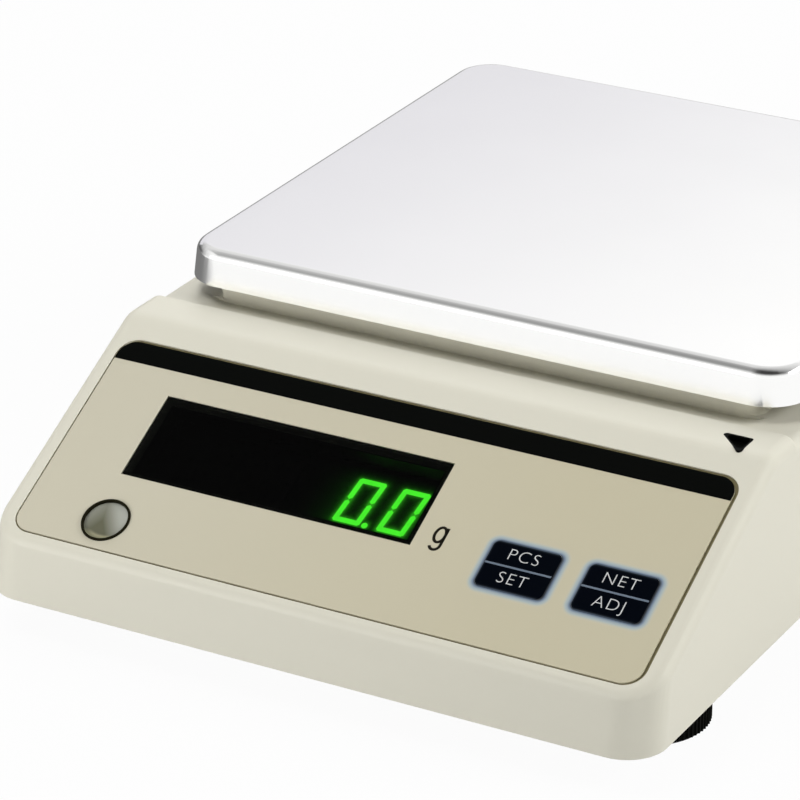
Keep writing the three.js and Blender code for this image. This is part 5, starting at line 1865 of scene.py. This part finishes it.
class BALANCE_OT_pan(bpy.types.Operator):
    """Build the stainless weighing pan with its turned-down rim"""

    bl_idname = "balance.pan"
    bl_label = "Weighing pan"

    def execute(self, context):
        edge = context.scene.balance_pan.edge_radius / MM
        bottom = PAN_CENTRE.z - PAN_SIZE.z / 2
        top = PAN_CENTRE.z + PAN_SIZE.z / 2
        outer = tray_body(
            PAN_SIZE.x, PAN_SIZE.y, bottom, top, PAN_CORNER_RADIUS, edge, PAN_FLARE, PAN_CENTRE.y,
        )
        inner = tray_body(
            PAN_SIZE.x - 2 * PAN_GAUGE, PAN_SIZE.y - 2 * PAN_GAUGE, bottom - CUT_OVERRUN, top - PAN_GAUGE,
            PAN_CORNER_RADIUS - PAN_GAUGE, edge - PAN_GAUGE, PAN_FLARE, PAN_CENTRE.y,
        )
        mesh = booled("pan_shell", outer, [cut(inner)])
        piece = finished_piece("pan_shell", smoothed(mesh, "pan_shell"), "pan", FINISHES["steel"])
        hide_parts("weighing_pan")
        return {"FINISHED"}


class BALANCE_OT_feet(bpy.types.Operator):
    """Build the ribbed thumb wheels of the levelling feet"""

    bl_idname = "balance.feet"
    bl_label = "Levelling feet"

    def execute(self, context):
        settings = context.scene.balance_feet
        tree = ring_tree()
        for node in sorted(frame["nodes"]):
            if node.startswith("foot_wheel_"):
                self.wheel(node, node.replace("foot_wheel_", ""), settings, tree)
        return {"FINISHED"}

    def wheel(self, node, corner, settings, tree):
        """One thumb wheel: a turned hub with a hollow for its pad, and its ribs."""
        size, centre = node_size(node)
        depth = settings.rib_depth / MM
        outer = size.x / 2 + WHEEL_GROWTH - depth
        low = centre.z - size.z / 2 - WHEEL_DROP
        high = centre.z + size.z / 2
        pad = PAD_RADIUS + FIT_GAP
        bore = STUD_RADIUS + FIT_GAP
        soft_low = low + WHEEL_CHAMFER
        soft_high = high - WHEEL_CHAMFER
        profile = [
            (pad, low), (outer - WHEEL_CHAMFER, low), (outer, soft_low), (outer, soft_high),
            (outer - WHEEL_CHAMFER, high), (bore, high), (bore, PAD_TOP), (pad, PAD_TOP),
        ]
        place = Matrix.Translation((centre.x, centre.y, 0))
        body = f"wheel_{corner}"
        name = f"thumb_wheel_{corner}"
        hub = smoothed(mesh_from(name, turned_profile(profile), place), name)
        piece = finished_piece(name, hub, body, FINISHES["black"])
        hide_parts(node)
        name = f"thumb_ribs_{corner}"
        rib = self.rib(math.pi * outer / settings.ribs * RIB_SHARE, depth, soft_low, soft_high)
        values = {"Count": settings.ribs, "Radius": outer, "Material": FINISHES["black"]}
        ribs = grown(object_of(name, rib), tree, values, name, place)
        finished_piece(name, ribs, body, FINISHES["black"])

    def rib(self, half_width, depth, low, high):
        """One rib with a round back, standing out along X."""
        bm = bmesh.new()
        turns = [math.pi * k / (RIB_POINTS - 1) for k in range(RIB_POINTS)]
        section = [(depth * math.sin(turn) - RIB_ROOT, half_width * math.cos(turn)) for turn in turns]
        bottom, top = ([bm.verts.new((*point, z)) for point in section] for z in (low, high))
        for k in range(RIB_POINTS):
            after = (k + 1) % RIB_POINTS
            bm.faces.new((bottom[k], bottom[after], top[after], top[k]))
        bm.faces.new(bottom[::-1])
        bm.faces.new(top)
        bmesh.ops.recalc_face_normals(bm, faces=bm.faces)
        mesh = bpy.data.meshes.new("rib")
        bm.to_mesh(mesh)
        bm.free()
        return mesh


class BALANCE_OT_studio(bpy.types.Operator):
    """Set up the pale floor, the soft light and the camera"""

    bl_idname = "balance.studio"
    bl_label = "Studio"

    def execute(self, context):
        settings = context.scene.balance_studio
        self.camera(context, settings)
        self.floor()
        self.back_card()
        for card in GLOSS_CARDS:
            self.gloss_card(*card)
        for name, *shape in LAMPS:
            self.lamp(name, getattr(settings, name), *shape)
        self.world(context, settings)
        context.scene.view_settings.view_transform = "Standard"
        return {"FINISHED"}

    def camera(self, context, settings):
        """The camera that sees the balance as the photograph does."""
        turn = settings.azimuth
        rise = settings.elevation
        right = Vector((math.cos(turn), math.sin(turn), 0))
        back = Vector((math.sin(turn) * math.cos(rise), -math.cos(turn) * math.cos(rise), math.sin(rise)))
        up = back.cross(right)
        rolled_right = math.cos(settings.roll) * right + math.sin(settings.roll) * up
        rolled_up = math.cos(settings.roll) * up - math.sin(settings.roll) * right
        aim = CAMERA_FOOT + settings.aim_right * rolled_right + settings.aim_up * rolled_up
        data = bpy.data.cameras.new("camera")
        data.sensor_width = 36
        data.lens = settings.lens
        data.clip_start = 0.05
        data.clip_end = 50
        camera = object_of("camera", data)
        camera.matrix_world = place_with_axes(aim + settings.distance * back, rolled_right, rolled_up, back)
        context.scene.camera = camera

    def floor(self):
        """A large pale floor that keeps a soft shadow; gloss sees a dark patch of it on the left."""
        material = bpy.data.materials.new("pale_floor")
        tree = empty_tree(material)
        output = tree.nodes.new("ShaderNodeOutputMaterial")
        matt = tree.nodes.new("ShaderNodeBsdfDiffuse")
        matt.inputs["Color"].default_value = (FLOOR_GREY, FLOOR_GREY, FLOOR_GREY, 1)
        plain = tree.nodes.new("ShaderNodeEmission")
        plain.inputs["Strength"].default_value = 1.0
        path = tree.nodes.new("ShaderNodeLightPath")
        seen = math_node(tree, "MAXIMUM", path.outputs["Is Camera Ray"], path.outputs["Is Glossy Ray"])
        seen = math_node(tree, "MAXIMUM", seen, path.outputs["Is Transmission Ray"])
        axes = axes_of(tree, object_place(tree))
        in_front = ramp_node(
            tree, axes["Y"], (-0.29, 1.0), (-0.25, 0.76), (-0.205, 0.42), (-0.16, 0.28), (-0.08, 0.17),
        )
        on_right = ramp_node(tree, axes["X"], (-0.12, 0.0), (-0.06, 1.0))
        level = math_node(tree, "MAXIMUM", in_front, on_right)
        tint = colour_mix(tree, path.outputs["Is Glossy Ray"], (1, 1, 1), level)
        tree.links.new(tint, plain.inputs["Color"])
        shown = math_node(tree, "MULTIPLY", seen, FLOOR_SHOWN)
        both = shader_mix(tree, shown, matt.outputs["BSDF"], plain.outputs["Emission"])
        tree.links.new(both, output.inputs["Surface"])
        self.sheet("floor", FLOOR_HALF_WIDTH, FLOOR_HALF_WIDTH, Matrix.Identity(4), material)

    def back_card(self):
        """A graded white card behind the balance that only the pan's steel sees."""
        material, tree, colour = card_material("graded_card", BACK_CARD_STRENGTH)
        axes = axes_of(tree, object_place(tree))
        share = weighted(tree, axes["X"], 2.3, axes["Z"], 3.8)
        tint = ramp_node(tree, share, (0.20, (0.727, 0.718, 0.755)), (0.75, (0.965, 0.965, 0.965)))
        tree.links.new(tint, colour)
        card = self.sheet(
            "graded_card", BACK_CARD_HALF_WIDTH, BACK_CARD_HALF_HEIGHT, BACK_CARD_PLACE, material,
        )
        self.only_in_gloss(card)

    def gloss_card(self, name, direction, half_width, half_height, strength):
        """A bright card that only gloss sees, for the light lines along the cover's edges."""
        material = card_material(name, strength)[0]
        place = self.facing(Vector(), direction, CARD_DISTANCE)
        self.only_in_gloss(self.sheet(name, half_width, half_height, place, material))

    def only_in_gloss(self, card):
        """Hides a card from all but glossy rays."""
        card.visible_camera = False
        card.visible_diffuse = False
        card.visible_shadow = False
        card.visible_transmission = False

    def facing(self, aim, direction, distance):
        """The place at a distance from an aim, turned so that its Z axis points away from it."""
        away = direction.normalized()
        return Matrix.Translation(aim + distance * away) @ away.to_track_quat("Z", "Y").to_matrix().to_4x4()

    def sheet(self, name, half_width, half_height, place, material):
        """A flat stage sheet with its place kept in the mesh."""
        bm = bmesh.new()
        bmesh.ops.create_grid(bm, x_segments=1, y_segments=1, size=1)
        bmesh.ops.scale(bm, vec=(half_width, half_height, 1), verts=bm.verts)
        bmesh.ops.transform(bm, matrix=place, verts=bm.verts)
        mesh = bpy.data.meshes.new(name)
        bm.to_mesh(mesh)
        bm.free()
        mesh.materials.append(material)
        made = object_of(name, mesh)
        return made

    def lamp(self, name, power, width, height, direction, distance):
        """A soft rectangular lamp in a direction from the balance, pointing at it."""
        data = bpy.data.lights.new(name, "AREA")
        data.shape = "RECTANGLE"
        data.energy = power
        data.size = width
        data.size_y = height
        lamp = object_of(name, data)
        lamp.visible_glossy = False
        lamp.matrix_world = self.facing(LAMP_AIM, direction, distance)

    def world(self, context, settings):
        """Even light; gloss sees white walls up to the ceiling's dark middle, darker on the right."""
        world = bpy.data.worlds.new("tent")
        tree = empty_tree(world)
        output = tree.nodes.new("ShaderNodeOutputWorld")
        even, seen, mirrored = (tree.nodes.new("ShaderNodeBackground") for _ in range(3))
        set_inputs(even, Color=(1, 1, 1, 1), Strength=settings.tent)
        seen.inputs["Color"].default_value = (1, 1, 1, 1)
        axes = axes_of(tree, tree.nodes.new("ShaderNodeTexCoord").outputs["Generated"])
        x, y, z = (axes[axis] for axis in "XYZ")
        ceiling = ramp_node(tree, x, (-0.5, 0.42), (-0.15, 0.05), (0.3, 0.04))
        height = ramp_node(tree, z, (0.45, 0.0), (0.75, 1.0))
        front_end = ramp_node(tree, scaled(tree, x, 2.0, y), (-1.65, 0.0), (-1.39, 1.0))
        rear_end = ramp_node(tree, y, (-0.25, 1.0), (0.80, 0.0))
        depth = math_node(tree, "MULTIPLY", front_end, rear_end)
        back_wall = ramp_node(tree, y, (0.30, 1.0), (0.60, 0.86))
        wall = colour_mix(tree, math_node(tree, "MULTIPLY", height, depth), back_wall, ceiling)
        leftward = ramp_node(tree, x, (-0.80, 1.0), (-0.44, 0.0))
        low = ramp_node(tree, z, (0.15, 1.0), (0.75, 0.0))
        behind = ramp_node(tree, y, (-0.60, 0.0), (0.10, 1.0))
        shaded = math_node(tree, "MULTIPLY", math_node(tree, "MULTIPLY", leftward, low), behind)
        tree.links.new(colour_mix(tree, shaded, wall, (0.10, 0.10, 0.10)), mirrored.inputs["Color"])
        path = tree.nodes.new("ShaderNodeLightPath")
        unseen = shader_mix(
            tree, path.outputs["Is Glossy Ray"], even.outputs["Background"], mirrored.outputs["Background"],
        )
        whole = shader_mix(tree, path.outputs["Is Camera Ray"], unseen, seen.outputs["Background"])
        tree.links.new(whole, output.inputs["Surface"])
        context.scene.world = world


class BALANCE_PT_panel(bpy.types.Panel):
    """Buttons and settings for the balance's pieces"""

    bl_idname = "BALANCE_PT_panel"
    bl_label = "Electronic Balance"
    bl_space_type = "VIEW_3D"
    bl_region_type = "UI"
    bl_category = "Balance"

    def draw(self, context):
        for operator in STEPS:
            self.layout.operator(operator.bl_idname)
        for name, group in SETTINGS.items():
            box = self.layout.box()
            box.label(text=group.__name__.replace("Settings", ""))
            for label in group.__annotations__:
                box.prop(getattr(context.scene, name), label)


SETTINGS = {
    "balance_housing": HousingSettings,
    "balance_panel": PanelSettings,
    "balance_display": DisplaySettings,
    "balance_pan": PanSettings,
    "balance_feet": FootSettings,
    "balance_studio": StudioSettings,
}
STEPS = (
    BALANCE_OT_studio,
    BALANCE_OT_finishes,
    BALANCE_OT_housing,
    BALANCE_OT_overlay,
    BALANCE_OT_display,
    BALANCE_OT_keys,
    BALANCE_OT_level,
    BALANCE_OT_pan,
    BALANCE_OT_feet,
)


def register():
    """Adds the settings, operators and panel."""
    for group in SETTINGS.values():
        bpy.utils.register_class(group)
    for name, group in SETTINGS.items():
        setattr(bpy.types.Scene, name, PointerProperty(type=group))
    for operator in STEPS:
        bpy.utils.register_class(operator)
    bpy.utils.register_class(BALANCE_PT_panel)


def unregister():
    """Takes the settings, operators and panel away again."""
    bpy.utils.unregister_class(BALANCE_PT_panel)
    for operator in reversed(STEPS):
        bpy.utils.unregister_class(operator)
    for name, group in SETTINGS.items():
        delattr(bpy.types.Scene, name)
        bpy.utils.unregister_class(group)


def main():
    """Registers the add-on and runs its steps in order."""
    register()
    for operator in STEPS:
        area, action = operator.bl_idname.split(".")
        getattr(getattr(bpy.ops, area), action)()


if __name__ == "__main__":
    main()
